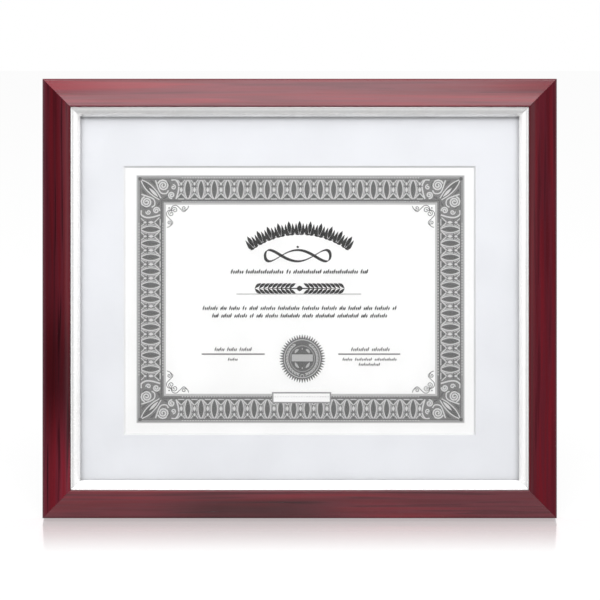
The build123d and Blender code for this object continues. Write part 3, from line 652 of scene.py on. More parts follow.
def seal_strokes():
    """The seal's strokes by ink: a toothed ring, its heart, and the rings, wreath, petals and blank band."""
    inner = SEAL_HEART - SEAL_OVERLAP
    ring = circle((0, 0), (SEAL_VALLEY + inner) / 2)
    outward = circle((0, 0), 1, SEAL_TEETH)[:, None]
    reach = np.array([SEAL_VALLEY - TOOTH_ROOT, SEAL_VALLEY + TOOTH_SHOULDER, SEAL_RADIUS])[:, None]
    body = [stroke(ring, (SEAL_VALLEY - inner) / 2, LEVEL_TINT, closed=True)]
    body.append(stroke(outward * reach, SEAL_TOOTH, LEVEL_TINT))
    lines = [stroke(circle((0, 0), radius), half, LEVEL_DARK, closed=True) for radius, half in SEAL_RINGS]
    for tilt, lift in WREATH_ROWS:
        leaf = turned(WREATH_LEAF, -tilt) + [0, WREATH_RADIUS + lift]
        leaves = np.stack([turned(leaf, 180 - angle) for angle in WREATH_ANGLES])
        lines += [stroke(leaves * [side, 1], swelling(5, 0.52), LEVEL_DARK) for side in (1, -1)]
    petals = [wave(petal, 6) * [side, 1] for side in (1, -1) for petal in SEAL_PETALS]
    lines.append(stroke(petals, swelling(6, 1.0), LEVEL_DARK))
    lines.append(disc(SEAL_DOTS, DOT_RADIUS, LEVEL_DARK))
    lines.append(stroke(line((-BAND_REACH, BAND_HEIGHT), (BAND_REACH, BAND_HEIGHT)), BAND_HALF, LEVEL_OVER))
    lines.append(stroke(circle(KNOB_PLACE, KNOB_RADIUS, 24), 0.3, LEVEL_DARK, closed=True))
    heart = [disc((0, 0), SEAL_HEART, LEVEL_WHITE, 25)]
    return {"seal": placed(body), "seal_heart": placed(heart), "seal_lines": placed(lines)}


# Finishes


class Value:
    """A node's output. Python's operators on it add Math nodes, so a formula reads as it is written."""

    def __init__(self, finish, socket):
        self.finish, self.socket = finish, socket

    def math(self, operation, *values, clamp=False):
        settings = {"operation": operation, "use_clamp": clamp}
        return self.finish.add("ShaderNodeMath", settings, dict(enumerate(values)))

    def __add__(self, other):
        return self.math("ADD", self, other)

    def __sub__(self, other):
        return self.math("SUBTRACT", self, other)

    def __rsub__(self, other):
        return self.math("SUBTRACT", other, self)

    def __mul__(self, other):
        return self.math("MULTIPLY", self, other)

    __radd__, __rmul__ = __add__, __mul__

    def size(self):
        return self.math("ABSOLUTE", self)

    def over(self, other):
        """The larger of this and other."""
        return self.math("MAXIMUM", self, other)

    def clipped(self):
        return self.math("ADD", self, 0.0, clamp=True)


class Finish:
    """The node tree of a material or a world. add() makes any node: its settings come first, then its
    sockets, which are set to values or linked to Values."""

    def __init__(self, name, world=False):
        kinds, ending = (bpy.data.worlds, "World") if world else (bpy.data.materials, "Material")
        self.made = kinds.new(name)
        self.made.use_nodes = True
        self.tree = self.made.node_tree
        self.tree.nodes.clear()
        self.output = self.tree.nodes.new(f"ShaderNodeOutput{ending}")

    def add(self, kind, settings=None, sockets=None, out=0):
        node = self.tree.nodes.new(kind)
        for name, value in (settings or {}).items():
            setattr(node, name, value)
        for name, value in (sockets or {}).items():
            self.feed(node.inputs[name], value)
        return Value(self, node.outputs[out])

    def feed(self, socket, value):
        """Links a Value to a socket, or sets the socket to a number, a vector or a colour."""
        if isinstance(value, Value):
            self.tree.links.new(value.socket, socket)
        elif socket.type == "RGBA":
            socket.default_value = (*value[:3], 1)
        else:
            socket.default_value = value

    def outputs(self, value, *names):
        """Other outputs of the node that a Value comes from."""
        return [Value(self, value.socket.node.outputs[name]) for name in names]

    def moved(self, vector, **sockets):
        """A vector through a Mapping node, which scales, then turns, then shifts it."""
        return self.add("ShaderNodeMapping", {"vector_type": "POINT"}, {"Vector": vector, **sockets})

    def upright(self, scale=(1, 1, 1), offset=(0, 0, 0)):
        """The frame's upright millimetres, from Object coordinates turned back by the lean, then scaled."""
        place = self.add("ShaderNodeTexCoord", out=3)
        back = (0, -SHIFT * LEAN_COS, -SHIFT * LEAN_SIN)
        place = self.moved(place, Location=back, Rotation=(radians(LEAN_ANGLE), 0, 0), Scale=(1000,) * 3)
        return self.moved(place, Location=offset, Scale=scale)

    def parts(self, vector):
        """The three numbers of a vector."""
        return self.outputs(self.add("ShaderNodeSeparateXYZ", sockets={"Vector": vector}), "X", "Y", "Z")

    def rays(self):
        """Whether a ray comes from the camera, from a glossy surface or through a clear one."""
        path = self.add("ShaderNodeLightPath")
        return self.outputs(path, "Is Camera Ray", "Is Glossy Ray", "Is Transmission Ray")

    def noise(self, vector, scale, detail=3.0, roughness=0.5, distortion=0.0):
        sockets = {"Vector": vector, "Scale": scale, "Detail": detail}
        sockets.update({"Roughness": roughness, "Distortion": distortion})
        return self.add("ShaderNodeTexNoise", {"noise_dimensions": "3D"}, sockets)

    def cells(self, feature, vector, **sockets):
        """Cells of uneven size: how far a point is from one's middle, or from its edge."""
        settings = {"voronoi_dimensions": "3D", "feature": feature}
        return self.add("ShaderNodeTexVoronoi", settings, {"Vector": vector, **sockets})

    def ranged(self, value, low, high, to_low=0.0, to_high=1.0, smooth=True):
        """value from low to high carried to to_low to to_high, eased at both ends and held outside."""
        settings = {"interpolation_type": "SMOOTHSTEP" if smooth else "LINEAR", "clamp": True}
        sockets = {"Value": value, "From Min": low, "From Max": high, "To Min": to_low, "To Max": to_high}
        return self.add("ShaderNodeMapRange", settings, sockets)

    def mixed(self, share, first, second, mode="MIX"):
        """The colours first and second mixed by share."""
        settings = {"data_type": "RGBA", "blend_type": mode, "clamp_factor": True}
        return self.add("ShaderNodeMix", settings, {0: share, 6: first, 7: second}, out=2)

    def shaded(self, colour, share):
        """A colour multiplied by a share."""
        return self.mixed(1.0, colour, share, "MULTIPLY")

    def bump(self, height, distance, strength):
        """A Normal from a height in units of distance, in metres."""
        sockets = {"Height": height, "Distance": distance, "Strength": strength}
        return self.add("ShaderNodeBump", sockets=sockets)

    def shader(self, kind, **sockets):
        return self.add(f"ShaderNode{kind}", sockets=sockets)

    def either(self, share, first, second):
        """One shader, and by share another in its place."""
        return self.add("ShaderNodeMixShader", sockets={0: share, 1: first, 2: second})

    def ended(self, shader):
        """Ends the tree in a shader and gives what it belongs to."""
        self.feed(self.output.inputs["Surface"], shader)
        return self.made

    def surface(self, **sockets):
        """Ends the tree in a Principled BSDF with these sockets, their spaces written as underscores."""
        sockets = {name.replace("_", " "): value for name, value in sockets.items()}
        return self.ended(self.shader("BsdfPrincipled", **sockets))


# How each rail's stain differs: its grain's place in the noise, its streaks' depth, its tone and its shine.
# The tone is painted light and shade: it makes the top rail lighter and the side rails darker.
WOOD_SIDES = {
    "top": (310.0, 0.28, 1.55, -0.06),
    "bottom": (45.0, 0.5, 1.12, 0.16),
    "left": (120.0, 1.0, 0.62, -0.2),
    "right": (220.0, 0.4, 0.84, -0.2),
}
GRAIN_SHARE, UPRIGHT_GLOSS_SHARE = 0.028, 0.65

# Shares of the stain's colour by place: from and to which place, and the shares of the colour there. The top
# rail's fade, the bottom rail's lighter crest and the left rail's lighter crown are painted light and shade,
# and the left rail's paler outer edge is a painted highlight; the clouds are darker and lighter patches along
# the rails.
TOP_FADE = (-110, 185, 1.0, 0.86)
BOTTOM_MIDDLE, BOTTOM_CLOUD, BOTTOM_CROWN, BOTTOM_CREST = -38.0, (15, 95, 0.55, 1.06), (12.5, 17.5), 1.12
LEFT_CROWN, LEFT_EDGE_HIGHLIGHT = (7, 21, 0.85, 1.45), (1.5, 4.0, 0.5, 0.0)
LEFT_HIGH, LEFT_LOW = (120, 185, 0.6, 1.12), (30, 105, 2.9, 1.0)

# The leaf: how much of it is metal, less on three sides so that they render whiter and more on the top liner
# so that it renders greyer, as lit and shaded copies of the leaf; and the painted shade on the top liner's
# ridge and scoop
LEAF_METAL, TOP_LEAF_METAL = 0.5, 0.92
SHADED_RIDGE = (-LINER_RIDGE_LEVEL + 0.05, -LINER_RIDGE_LEVEL + 0.25)
SCOOP_INSET, SCOOP_SHADE = 25.9, (0.3, 2.8, 0.78, 1.0)

# The soft shade that the mouldings leave on the mat's edge, at its top, sides and bottom
TOP_SHADE = (FRAME_HEIGHT - LINER_SIGHT - 3.5, FRAME_HEIGHT - LINER_SIGHT + 0.5, 1.0, 0.76)
SIDE_SHADE, BOTTOM_SHADE = ((LINER_SIGHT, LINER_SIGHT + 4.5, share, 1.0) for share in (0.87, 0.94))
# painted shade: width of the greyer core at the bevel's top and right
SHADED_CORE_WIDTH = 0.3


def wood_finish(side, settings):
    """Red-brown stain under a satin lacquer. Long streaks run along the rail: noise whose scale along the
    grain is a few hundredths of that across it, with a finer pair for the pores. Each rail's tone and its
    shares by place are partly painted light and shade."""
    finish = Finish(f"wood_{side}")
    seed, depth, tone, shine = WOOD_SIDES[side]
    level = side in ("top", "bottom")
    colours = (settings.wood_red, settings.wood_deep, settings.wood_plum)
    # tone: painted light on the top rail, painted shade on the side rails
    red, deep, plum = (tuple(channel * tone for channel in colour) for colour in colours)
    gloss = settings.wood_gloss * (1 if level else UPRIGHT_GLOSS_SHARE)
    slow, slower = ((share, 1, 1) if level else (1, 1, share) for share in (GRAIN_SHARE, GRAIN_SHARE / 2))
    grain = finish.upright(slow, offset=(seed, seed / 3, seed / 7))
    fine = finish.upright(slower, offset=(seed / 2, seed, 0))
    broad = finish.noise(grain, 0.15, 2.0, 0.45, 0.35)
    bands = finish.noise(grain, 0.34, 2.0, 0.4, 0.3)
    pores = finish.noise(fine, 2.6, 4.0, 0.6)
    base = finish.mixed(finish.ranged(broad, 0.35, 0.65), deep, red)
    base = finish.mixed(finish.ranged(bands, 0.38, 0.55) * 0.6, base, plum)
    base = finish.mixed(finish.ranged(bands, 0.55, 0.67) * depth * 0.92, base, settings.wood_streak)
    base = finish.mixed(finish.ranged(pores, 0.52, 0.72) * 0.22, base, settings.wood_streak)
    x, _, z = finish.parts(finish.upright())
    if side == "top":
        # painted shade: the top rail darkens towards its right end
        base = finish.shaded(base, finish.ranged(x, *TOP_FADE, smooth=False))
    if side == "bottom":
        cloud = finish.ranged((x - BOTTOM_MIDDLE).size(), *BOTTOM_CLOUD)
        # painted light: the bottom rail is lighter at its crest; lower down it follows the cloud, darkest
        # about BOTTOM_MIDDLE
        base = finish.shaded(base, cloud + finish.ranged(z, *BOTTOM_CROWN) * (BOTTOM_CREST - cloud))
    if side == "left":
        inset = x + FRAME_WIDTH / 2
        cloud = finish.ranged(z, *LEFT_HIGH) * finish.ranged(z, *LEFT_LOW)
        # painted light: the left rail is lighter towards its crown than at its outer edge, and darker and
        # lighter in clouds along it
        base = finish.shaded(base, finish.ranged(inset, *LEFT_CROWN) * cloud)
        # painted highlight: a paler plum band along the left rail's rounded outer edge
        base = finish.mixed(finish.ranged(inset, *LEFT_EDGE_HIGHLIGHT), base, settings.wood_worn)
    return finish.surface(
        Base_Color=base,
        Roughness=finish.ranged(pores, 0.3, 0.7, gloss, gloss + 0.08),
        Specular_IOR_Level=settings.wood_specular + shine,
        Normal=finish.bump(pores * 0.6 + bands * 0.4, 0.00003, 0.35),
    )


def silver_finish(side, settings):
    """Silver leaf over a smooth ground: metal with a soft, slightly uneven shine and faint leaf laps. Its
    metal share is lower on three sides than on the top liner, as lit and shaded copies of the leaf, and the
    top liner's ridge and scoop carry painted shade. Behind the glass the liner is left as bare wood."""
    finish = Finish(f"silver_leaf_{side}")
    place = finish.upright()
    _, back, z = finish.parts(place)
    leafed = finish.ranged(back, -GLASS_LEVEL - 0.3, -GLASS_LEVEL + 0.3, 1.0, 0.0)
    cloud = finish.noise(place, 0.05, 3.0, 0.55)
    grit = finish.noise(place, 1.8, 3.0, 0.6)
    laps = finish.ranged(finish.cells("DISTANCE_TO_EDGE", place, Scale=0.018), 0.0, 0.03, 1.0, 0.0)
    colour = finish.mixed(finish.ranged(cloud, 0.35, 0.65), settings.silver_cool, settings.silver_warm)
    colour = finish.mixed(laps * 0.18, colour, settings.silver_dull)
    if side == "top":
        # painted shade on the top liner's ridge, next to the wood
        colour = finish.mixed(finish.ranged(back, *SHADED_RIDGE), settings.silver_ridge_shade, colour)
        from_scoop = (z - (FRAME_HEIGHT - SCOOP_INSET)).size()
        colour = finish.shaded(colour, finish.ranged(from_scoop, *SCOOP_SHADE))
    return finish.surface(
        Base_Color=finish.mixed(leafed, settings.bare_wood, colour),
        # lit and shaded copies of the leaf: more metal on the top liner renders it greyer
        Metallic=leafed * (TOP_LEAF_METAL if side == "top" else LEAF_METAL),
        Roughness=finish.ranged(grit, 0.3, 0.7, 0.2, 0.28),
        Normal=finish.bump(grit * 0.5 + cloud * 0.5, 0.00003, 0.1),
    )


def mat_finish(settings):
    """Mat board: a pale blue-white facing paper with a fine tooth, and a whiter core where it is bevelled.
    The core carries painted shade at the window's top and right, and the face painted shade along its edges
    by the mouldings.
    """
    finish = Finish("mat_board")
    place = finish.upright()
    x, _, z = finish.parts(place)
    window_side, window_top = WINDOW_WIDTH / 2, WINDOW_HEIGHT / 2
    past_side = x.size() - (window_side + MAT_BEVEL)
    past_top = (z - PACK_MIDDLE).size() - (window_top + MAT_BEVEL)
    core = finish.ranged(past_side.over(past_top), 0.02, -0.02, smooth=False)
    # painted shade: the bevel's core is greyer at the window's top and right
    right = finish.ranged(x, window_side - SHADED_CORE_WIDTH, window_side)
    top = finish.ranged(z, PACK_MIDDLE + window_top - SHADED_CORE_WIDTH, PACK_MIDDLE + window_top)
    cut = finish.mixed(right.over(top), settings.mat_core, settings.mat_core_shaded)
    tooth = finish.noise(place, 2.2, 4.0, 0.65)
    fibre = finish.noise(place, 0.35, 5.0, 0.6)
    face = finish.mixed(finish.ranged(fibre, 0.3, 0.7) * 0.6, settings.mat_face, settings.mat_fibre)
    inset = FRAME_WIDTH / 2 - x.size()
    shade = finish.ranged(z, *TOP_SHADE) * finish.ranged(inset, *SIDE_SHADE) * finish.ranged(z, *BOTTOM_SHADE)
    return finish.surface(
        Base_Color=finish.mixed(core, finish.shaded(face, shade), cut),
        Roughness=finish.ranged(tooth, 0.3, 0.7, 0.82, 0.95),
        Specular_IOR_Level=0.25,
        Normal=finish.bump(tooth, 0.00005, 0.3),
    )


def paper_finish(settings):
    """Smooth white sheet with a faint cloudy fibre."""
    finish = Finish("paper")
    place = finish.upright()
    fibre = finish.noise(place, 0.6, 5.0, 0.65)
    tooth = finish.noise(place, 4.0, 3.0, 0.6)
    return finish.surface(
        Base_Color=finish.mixed(finish.ranged(fibre, 0.3, 0.7), settings.paper_white, settings.paper_fibre),
        Roughness=finish.ranged(tooth, 0.3, 0.7, 0.6, 0.78),
        Specular_IOR_Level=0.3,
        Normal=finish.bump(tooth, 0.00002, 0.2),
    )


def glass_finish(settings):
    """Thin picture glass: nearly all goes straight through, and the rest is a clean reflection that grows
    towards grazing angles, with a trace of dust in it."""
    finish = Finish("picture_glass")
    dust = finish.noise(finish.upright(), 0.03, 4.0, 0.6)
    share = (finish.shader("Fresnel", IOR=1.45) * finish.ranged(dust, 0.3, 0.7, 0.55, 0.7)).clipped()
    clear = finish.shader("BsdfTransparent", Color=settings.glass_tint)
    mirror = finish.shader("BsdfGlossy", Color=(1, 1, 1), Roughness=0.03)
    return finish.ended(finish.either(share, clear, mirror))


def board_finish(name, settings, pebble):
    """Black paper laminated on board: a pebbled emboss, lightly scuffed, under a dull sheen."""
    finish = Finish(name)
    place = finish.upright()
    pebbles = finish.cells("F1", place, Scale=pebble, Randomness=0.9)
    scuff = finish.ranged(finish.noise(place, 0.09, 5.0, 0.7), 0.5, 0.75)
    lint = finish.ranged(finish.noise(place, 1.5, 4.0, 0.7), 0.62, 0.78)
    colour = finish.mixed(scuff * 0.45, settings.board_black, settings.board_worn)
    return finish.surface(
        Base_Color=finish.mixed(lint * 0.25, colour, settings.board_worn),
        Roughness=finish.ranged(pebbles, 0.0, 0.6, 0.62, 0.78),
        Specular_IOR_Level=0.4,
        Normal=finish.bump(pebbles, 0.00018, 0.4),
    )


def card_finish(settings):
    """Grey-brown filler card with flecks of pulp."""
    finish = Finish("filler_card")
    place = finish.upright()
    pulp = finish.noise(place, 0.8, 6.0, 0.75)
    fleck = finish.ranged(finish.noise(place, 2.5, 2.0, 0.5), 0.64, 0.7)
    colour = finish.mixed(finish.ranged(pulp, 0.35, 0.65), settings.card_light, settings.card_dark)
    colour = finish.mixed(fleck * 0.5, colour, settings.card_fleck)
    return finish.surface(Base_Color=colour, Roughness=0.9, Normal=finish.bump(pulp, 0.0001, 0.4))


def steel_finish(name, colour, worn, stretch, roughness):
    """Plated steel: fine rolling lines along the stretched axis, cloudy plating and duller patches."""
    finish = Finish(name)
    lines = finish.noise(finish.upright(stretch), 1.6, 4.0, 0.6)
    cloud = finish.noise(finish.upright(), 0.22, 4.0, 0.6)
    return finish.surface(
        Base_Color=finish.mixed(finish.ranged(cloud, 0.42, 0.68) * 0.7, colour, worn),
        Metallic=0.95,
        Roughness=finish.ranged(cloud * 0.6 + lines * 0.4, 0.35, 0.65, roughness, roughness + 0.18),
        Normal=finish.bump(lines, 0.00003, 0.35),
    )


def ink_finish(name, tone):
    """Printing ink: its tone thins a little where the paper's tooth shows through."""
    finish = Finish(name)
    thin = finish.ranged(finish.noise(finish.upright(), 3.0, 3.0, 0.6), 0.45, 0.75)
    lighter = tuple(min(1.0, channel * 1.12 + 0.004) for channel in tone)
    return finish.surface(
        Base_Color=finish.mixed(thin * 0.6, tuple(tone), lighter),
        Roughness=finish.ranged(thin, 0.0, 1.0, 0.55, 0.7),
        Specular_IOR_Level=0.3,
    )


def ribbon_finish(settings):
    """Black ribbon with a soft sheen and a little lint."""
    finish = Finish("ribbon_weave")
    lint = finish.ranged(finish.noise(finish.upright(), 1.4, 4.0, 0.65), 0.5, 0.72)
    return finish.surface(
        Base_Color=finish.mixed(lint * 0.3, settings.ribbon_black, settings.ribbon_worn),
        Roughness=0.642,
        Sheen_Weight=0.3,
    )


# The settings that a user would change


def colour_setting(name, description, default):
    return bpy.props.FloatVectorProperty(
        name=name, description=description, default=default, size=3, subtype="COLOR", min=0, max=1
    )


def size_setting(name, description, default, **more):
    return bpy.props.FloatProperty(name=name, description=description, default=default, min=0, **more)


class MouldingSettings(bpy.types.PropertyGroup):
    """Sizes in millimetres and colours of the wood and the silvered liner."""

    crown_rise: size_setting("Crown", "How far the wood's face is crowned, in millimetres", 1.0)
    scoop: size_setting("Scoop", "How deep the liner's slope is hollowed, in millimetres", 0.7)
    back_set: size_setting("Back set", "How far the wood's back lies in from the nails, in millimetres", 0.03)
    wood_gap: size_setting("Wood mitre", "Half the joint between two wood rails, in millimetres", 0.05)
    silver_gap: size_setting("Silver mitre", "Half the joint between two liners, in millimetres", 0.1)
    wood_gloss: size_setting("Wood roughness", "Roughness of the lacquered wood", 0.18)
    wood_specular: size_setting("Wood shine", "Specular level of the stained wood", 0.5)
    wood_red: colour_setting("Wood red", "Brighter red of the stain", (0.14, 0.009, 0.016))
    wood_deep: colour_setting("Wood deep", "Deeper brown-red of the stain", (0.08, 0.007, 0.012))
    wood_plum: colour_setting("Wood plum", "Cooler red between the streaks", (0.092, 0.013, 0.022))
    wood_streak: colour_setting("Wood streak", "Near-black of the streaks", (0.022, 0.003, 0.005))
    # painted highlight along the left rail's outer edge
    wood_worn: colour_setting("Worn wood", "Paler stain on the left rail's outer edge", (0.1, 0.025, 0.037))
    silver_cool: colour_setting("Silver cool", "Cooler tone of the leaf", (0.985, 0.988, 0.988))
    silver_warm: colour_setting("Silver warm", "Warmer tone of the leaf", (0.99, 0.985, 0.98))
    silver_dull: colour_setting("Silver dull", "Tone where two leaves overlap", (0.8, 0.8, 0.79))
    # painted shade on the top liner's ridge
    silver_ridge_shade: colour_setting("Silver dark", "Dull leaf on the top liner's ridge", (0.5, 0.48, 0.48))
    bare_wood: colour_setting("Bare wood", "The liner's hidden sides", (0.16, 0.1, 0.055))


class PackSettings(bpy.types.PropertyGroup):
    """Colours of the mat, the sheet, the glass and the boards behind them."""

    mat_face: colour_setting("Mat", "Facing paper of the mat", (0.772, 0.783, 0.815))
    mat_fibre: colour_setting("Mat fibre", "Paler fibre in the mat's face", (0.797, 0.808, 0.835))
    mat_core: colour_setting("Mat core", "Core of the mat at its bevel", (0.82, 0.82, 0.825))
    # painted shade on the bevel's core at the top and right
    mat_core_shaded: colour_setting("Mat core dull", "The same at the top and right", (0.66, 0.66, 0.675))
    paper_white: colour_setting("Paper", "The sheet", (0.93, 0.93, 0.93))
    paper_fibre: colour_setting("Paper fibre", "Fainter clouds in the sheet", (0.91, 0.91, 0.905))
    glass_tint: colour_setting("Glass", "What passes straight through the glass", (0.99, 0.99, 0.99))
    board_black: colour_setting("Board", "Paper on the backing board and leg", (0.013, 0.013, 0.014))
    board_worn: colour_setting("Board scuff", "Where that paper is scuffed", (0.07, 0.068, 0.068))
    card_light: colour_setting("Card light", "Lighter pulp of the filler card", (0.5, 0.4, 0.28))
    card_dark: colour_setting("Card dark", "Darker pulp of the filler card", (0.4, 0.31, 0.21))
    card_fleck: colour_setting("Card fleck", "Flecks in the filler card", (0.2, 0.15, 0.1))


class PrintSettings(bpy.types.PropertyGroup):
    """The inks of the printed sheet."""

    edge: colour_setting("Edge", "Outermost strip of the border", (0.3, 0.3, 0.3))
    tint: colour_setting("Tint", "Grey ground of the border", (0.19, 0.19, 0.19))
    pale: colour_setting("Pale", "Pale strips of the border", (0.5, 0.5, 0.5))
    white: colour_setting("White", "White lines of the border", (0.63, 0.63, 0.63))
    dark: colour_setting("Dark", "Lenses and lines of the border", (0.115, 0.115, 0.115))
    black: colour_setting("Black", "Garland, knot and sprays", (0.012, 0.012, 0.012))
    rows: colour_setting("Rows", "Rows of hatching", (0.04, 0.04, 0.04))
    rules: colour_setting("Rules", "The rules and the rows of hatching by them", (0.16, 0.155, 0.155))
    seal: colour_setting("Seal", "Ground of the seal", (0.13, 0.13, 0.13))
    seal_heart: colour_setting("Seal heart", "Darker middle of the seal", (0.11, 0.11, 0.11))
    seal_lines: colour_setting("Seal lines", "Rings, wreath and band of the seal", (0.45, 0.45, 0.45))
    box: colour_setting("Box", "Blank number box", (0.93, 0.93, 0.93))


class HardwareSettings(bpy.types.PropertyGroup):
    """Colours of the metal fittings and the ribbon."""

    zinc: colour_setting("Zinc", "Bright zinc plating", (0.62, 0.63, 0.64))
    zinc_worn: colour_setting("Zinc worn", "Duller plating", (0.42, 0.43, 0.44))
    wire: colour_setting("Wire", "Staple wire and corner nails", (0.5, 0.5, 0.5))
    ribbon_width: size_setting("Ribbon width", "Width of the ribbon, in millimetres", 10.0)
    ribbon_thickness: size_setting("Ribbon thickness", "Thickness at its edges, in millimetres", 0.4)
    ribbon_black: colour_setting("Ribbon", "The ribbon", (0.01636, 0.01636, 0.0181))
    ribbon_worn: colour_setting("Ribbon lint", "Lint on the ribbon", (0.06, 0.06, 0.06))


class StageSettings(bpy.types.PropertyGroup):
    """The camera, the lamps and the floor."""

    distance: size_setting("Camera distance", "From the front of the frame", 1.8, unit="LENGTH")
    across: size_setting("Seen width", "Picture's width at the frame's outer edge", 0.4578, unit="LENGTH")
    key: size_setting("Top lamp", "Power of the soft lamp above the front", 36.5, unit="POWER")
    world: size_setting("Surround", "Strength of the light from all round", 0.8)
    floor_colour: colour_setting("Floor", "Colour of the floor", (0.62, 0.62, 0.62))


SETTINGS = {
    "frame_moulding": MouldingSettings,
    "frame_pack": PackSettings,
    "frame_print": PrintSettings,
    "frame_hardware": HardwareSettings,
    "frame_stage": StageSettings,
}


# The operators, one for each piece or group of like pieces


def dress(material, *nodes):
    """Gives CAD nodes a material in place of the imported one."""
    for node in nodes:
        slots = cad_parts[node].material_slots
        for slot in slots:
            slot.material = material
        if not slots:
            raise RuntimeError(f"{node} has no material slot")


def clear_of_mat(glass):
    """Draws the glass in by a few hundredths of a millimetre, so that its back and the mat's face do not
    share a plane, where it isn't decided which of them a ray meets first."""
    weld = glass.modifiers.new("weld", "WELD")
    weld.merge_threshold = 0.00001
    inward = glass.modifiers.new("inward", "DISPLACE")
    inward.direction, inward.mid_level, inward.strength = "NORMAL", 0.0, -GLASS_DRAWN_IN / 1000


class FRAME_OT_wood_rails(bpy.types.Operator):
    """Build the four mitred wood rails"""

    bl_idname = "certificate_frame.wood_rails"
    bl_label = "Wood Rails"

    def execute(self, context):
        settings = context.scene.frame_moulding
        for side in SIDES:
            rail = mitred_bar(f"wood_rail_{side}", wood_section(settings), side, settings.wood_gap)
            finish_piece(rail, "frame", "dark_wood", wood_finish(side, settings), f"rail_{side}")
        return {"FINISHED"}


class FRAME_OT_silver_liners(bpy.types.Operator):
    """Build the four silvered liners"""

    bl_idname = "certificate_frame.silver_liners"
    bl_label = "Silver Liners"

    def execute(self, context):
        settings = context.scene.frame_moulding
        for side in SIDES:
            liner = mitred_bar(f"silver_liner_{side}", silver_section(settings), side, settings.silver_gap)
            finish_piece(liner, "frame", "silver_leaf", silver_finish(side, settings), f"liner_{side}")
        return {"FINISHED"}


class FRAME_OT_pack_finishes(bpy.types.Operator):
    """Give the glass, the mat, the sheet and the boards their finishes"""

    bl_idname = "certificate_frame.pack_finishes"
    bl_label = "Glass, Mat and Boards"

    def execute(self, context):
        settings = context.scene.frame_pack
        dress(glass_finish(settings), "glass")
        clear_of_mat(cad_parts["glass"])
        dress(mat_finish(settings), "mat")
        dress(paper_finish(settings), "certificate")
        dress(card_finish(settings), "filler_board")
        dress(board_finish("backing_paper", settings, pebble=0.9), "backing_board")
        dress(board_finish("leg_paper", settings, pebble=1.1), "easel_leg")
        return {"FINISHED"}


class FRAME_OT_printed_border(bpy.types.Operator):
    """Print the border: bands, lenses, spindles and scrolled corners"""

    bl_idname = "certificate_frame.printed_border"
    bl_label = "Printed Border"

    def execute(self, context):
        for ink, strokes in border_strokes().items():
            ink_piece(ink, strokes, getattr(context.scene.frame_print, ink))
        return {"FINISHED"}


class FRAME_OT_printed_middle(bpy.types.Operator):
    """Print the garland, the knot, the sprays, the hatched rows and the rules"""

    bl_idname = "certificate_frame.printed_middle"
    bl_label = "Printed Middle"

    def execute(self, context):
        for ink, strokes in middle_strokes().items():
            ink_piece(ink, strokes, getattr(context.scene.frame_print, ink))
        return {"FINISHED"}


class FRAME_OT_printed_seal(bpy.types.Operator):
    """Print the toothed seal with its wreath, and the blank number box"""

    bl_idname = "certificate_frame.printed_seal"
    bl_label = "Printed Seal and Box"

    def execute(self, context):
        inks = context.scene.frame_print
        for ink, strokes in seal_strokes().items():
            ink_piece(ink, strokes, getattr(inks, ink))
        side = np.array([BOX_HALF_SIZES[0], 0])
        ground = stroke(line(BOX_MIDDLE - side, BOX_MIDDLE + side), BOX_HALF_SIZES[1], LEVEL_OVER)
        ink_piece("box", [ground], inks.box)
        edge = mitred_ring(BOX_HALF_SIZES - BOX_EDGE_INSET, BOX_EDGE_HALF, LEVEL_TOP, BOX_MIDDLE)
        ink_piece("box_edge", [edge], inks.edge)
        return {"FINISHED"}


class FRAME_OT_fasteners(bpy.types.Operator):
    """Build the cross-recess screws, the rivets and the hanger's nails"""

    bl_idname = "certificate_frame.fasteners"
    bl_label = "Screws, Rivets and Nails"

    def execute(self, context):
        settings = context.scene.frame_hardware
        zinc = steel_finish("screw_zinc", settings.zinc, settings.zinc_worn, (1, 1, 1), roughness=0.24)
        screws = copies_of(*pan_head(), SCREW_PLACES, SCREW_TURNS)
        screws = make_piece("pan_screws", *screws, FASTENER_SHARP)
        finish_piece(screws, "frame", "zinc_steel", zinc, "turn_button_screws")
        nail = lathed(domed_profile(NAIL_HEAD, NAIL_SEAT, NAIL_RADIUS, NAIL_LENGTH), steps=20)
        nails = make_piece("domed_nails", *copies_of(*nail, NAIL_PLACES), FASTENER_SHARP)
        finish_piece(nails, "frame", "zinc_steel", zinc, "hanger_nails")
        rivet_pairs = (("frame", "board", BOARD_RIVETS), ("easel", "leg", LEG_RIVETS))
        for body, part, (level, height) in rivet_pairs:
            rivet = lathed(domed_profile(RIVET_HEAD, level, RIVET_RADIUS, RIVET_GRIP), steps=28)
            places = [(-RIVET_HALF_SPACING, height), (RIVET_HALF_SPACING, height)]
            points, faces, caps = copies_of(*rivet, places)
            if body == "easel":
                points = opened(points)
            rivets = make_piece(f"domed_rivets_{part}", points, faces, caps, FASTENER_SHARP)
            finish_piece(rivets, body, "zinc_steel", zinc, f"hinge_rivets_{part}")
        return {"FINISHED"}


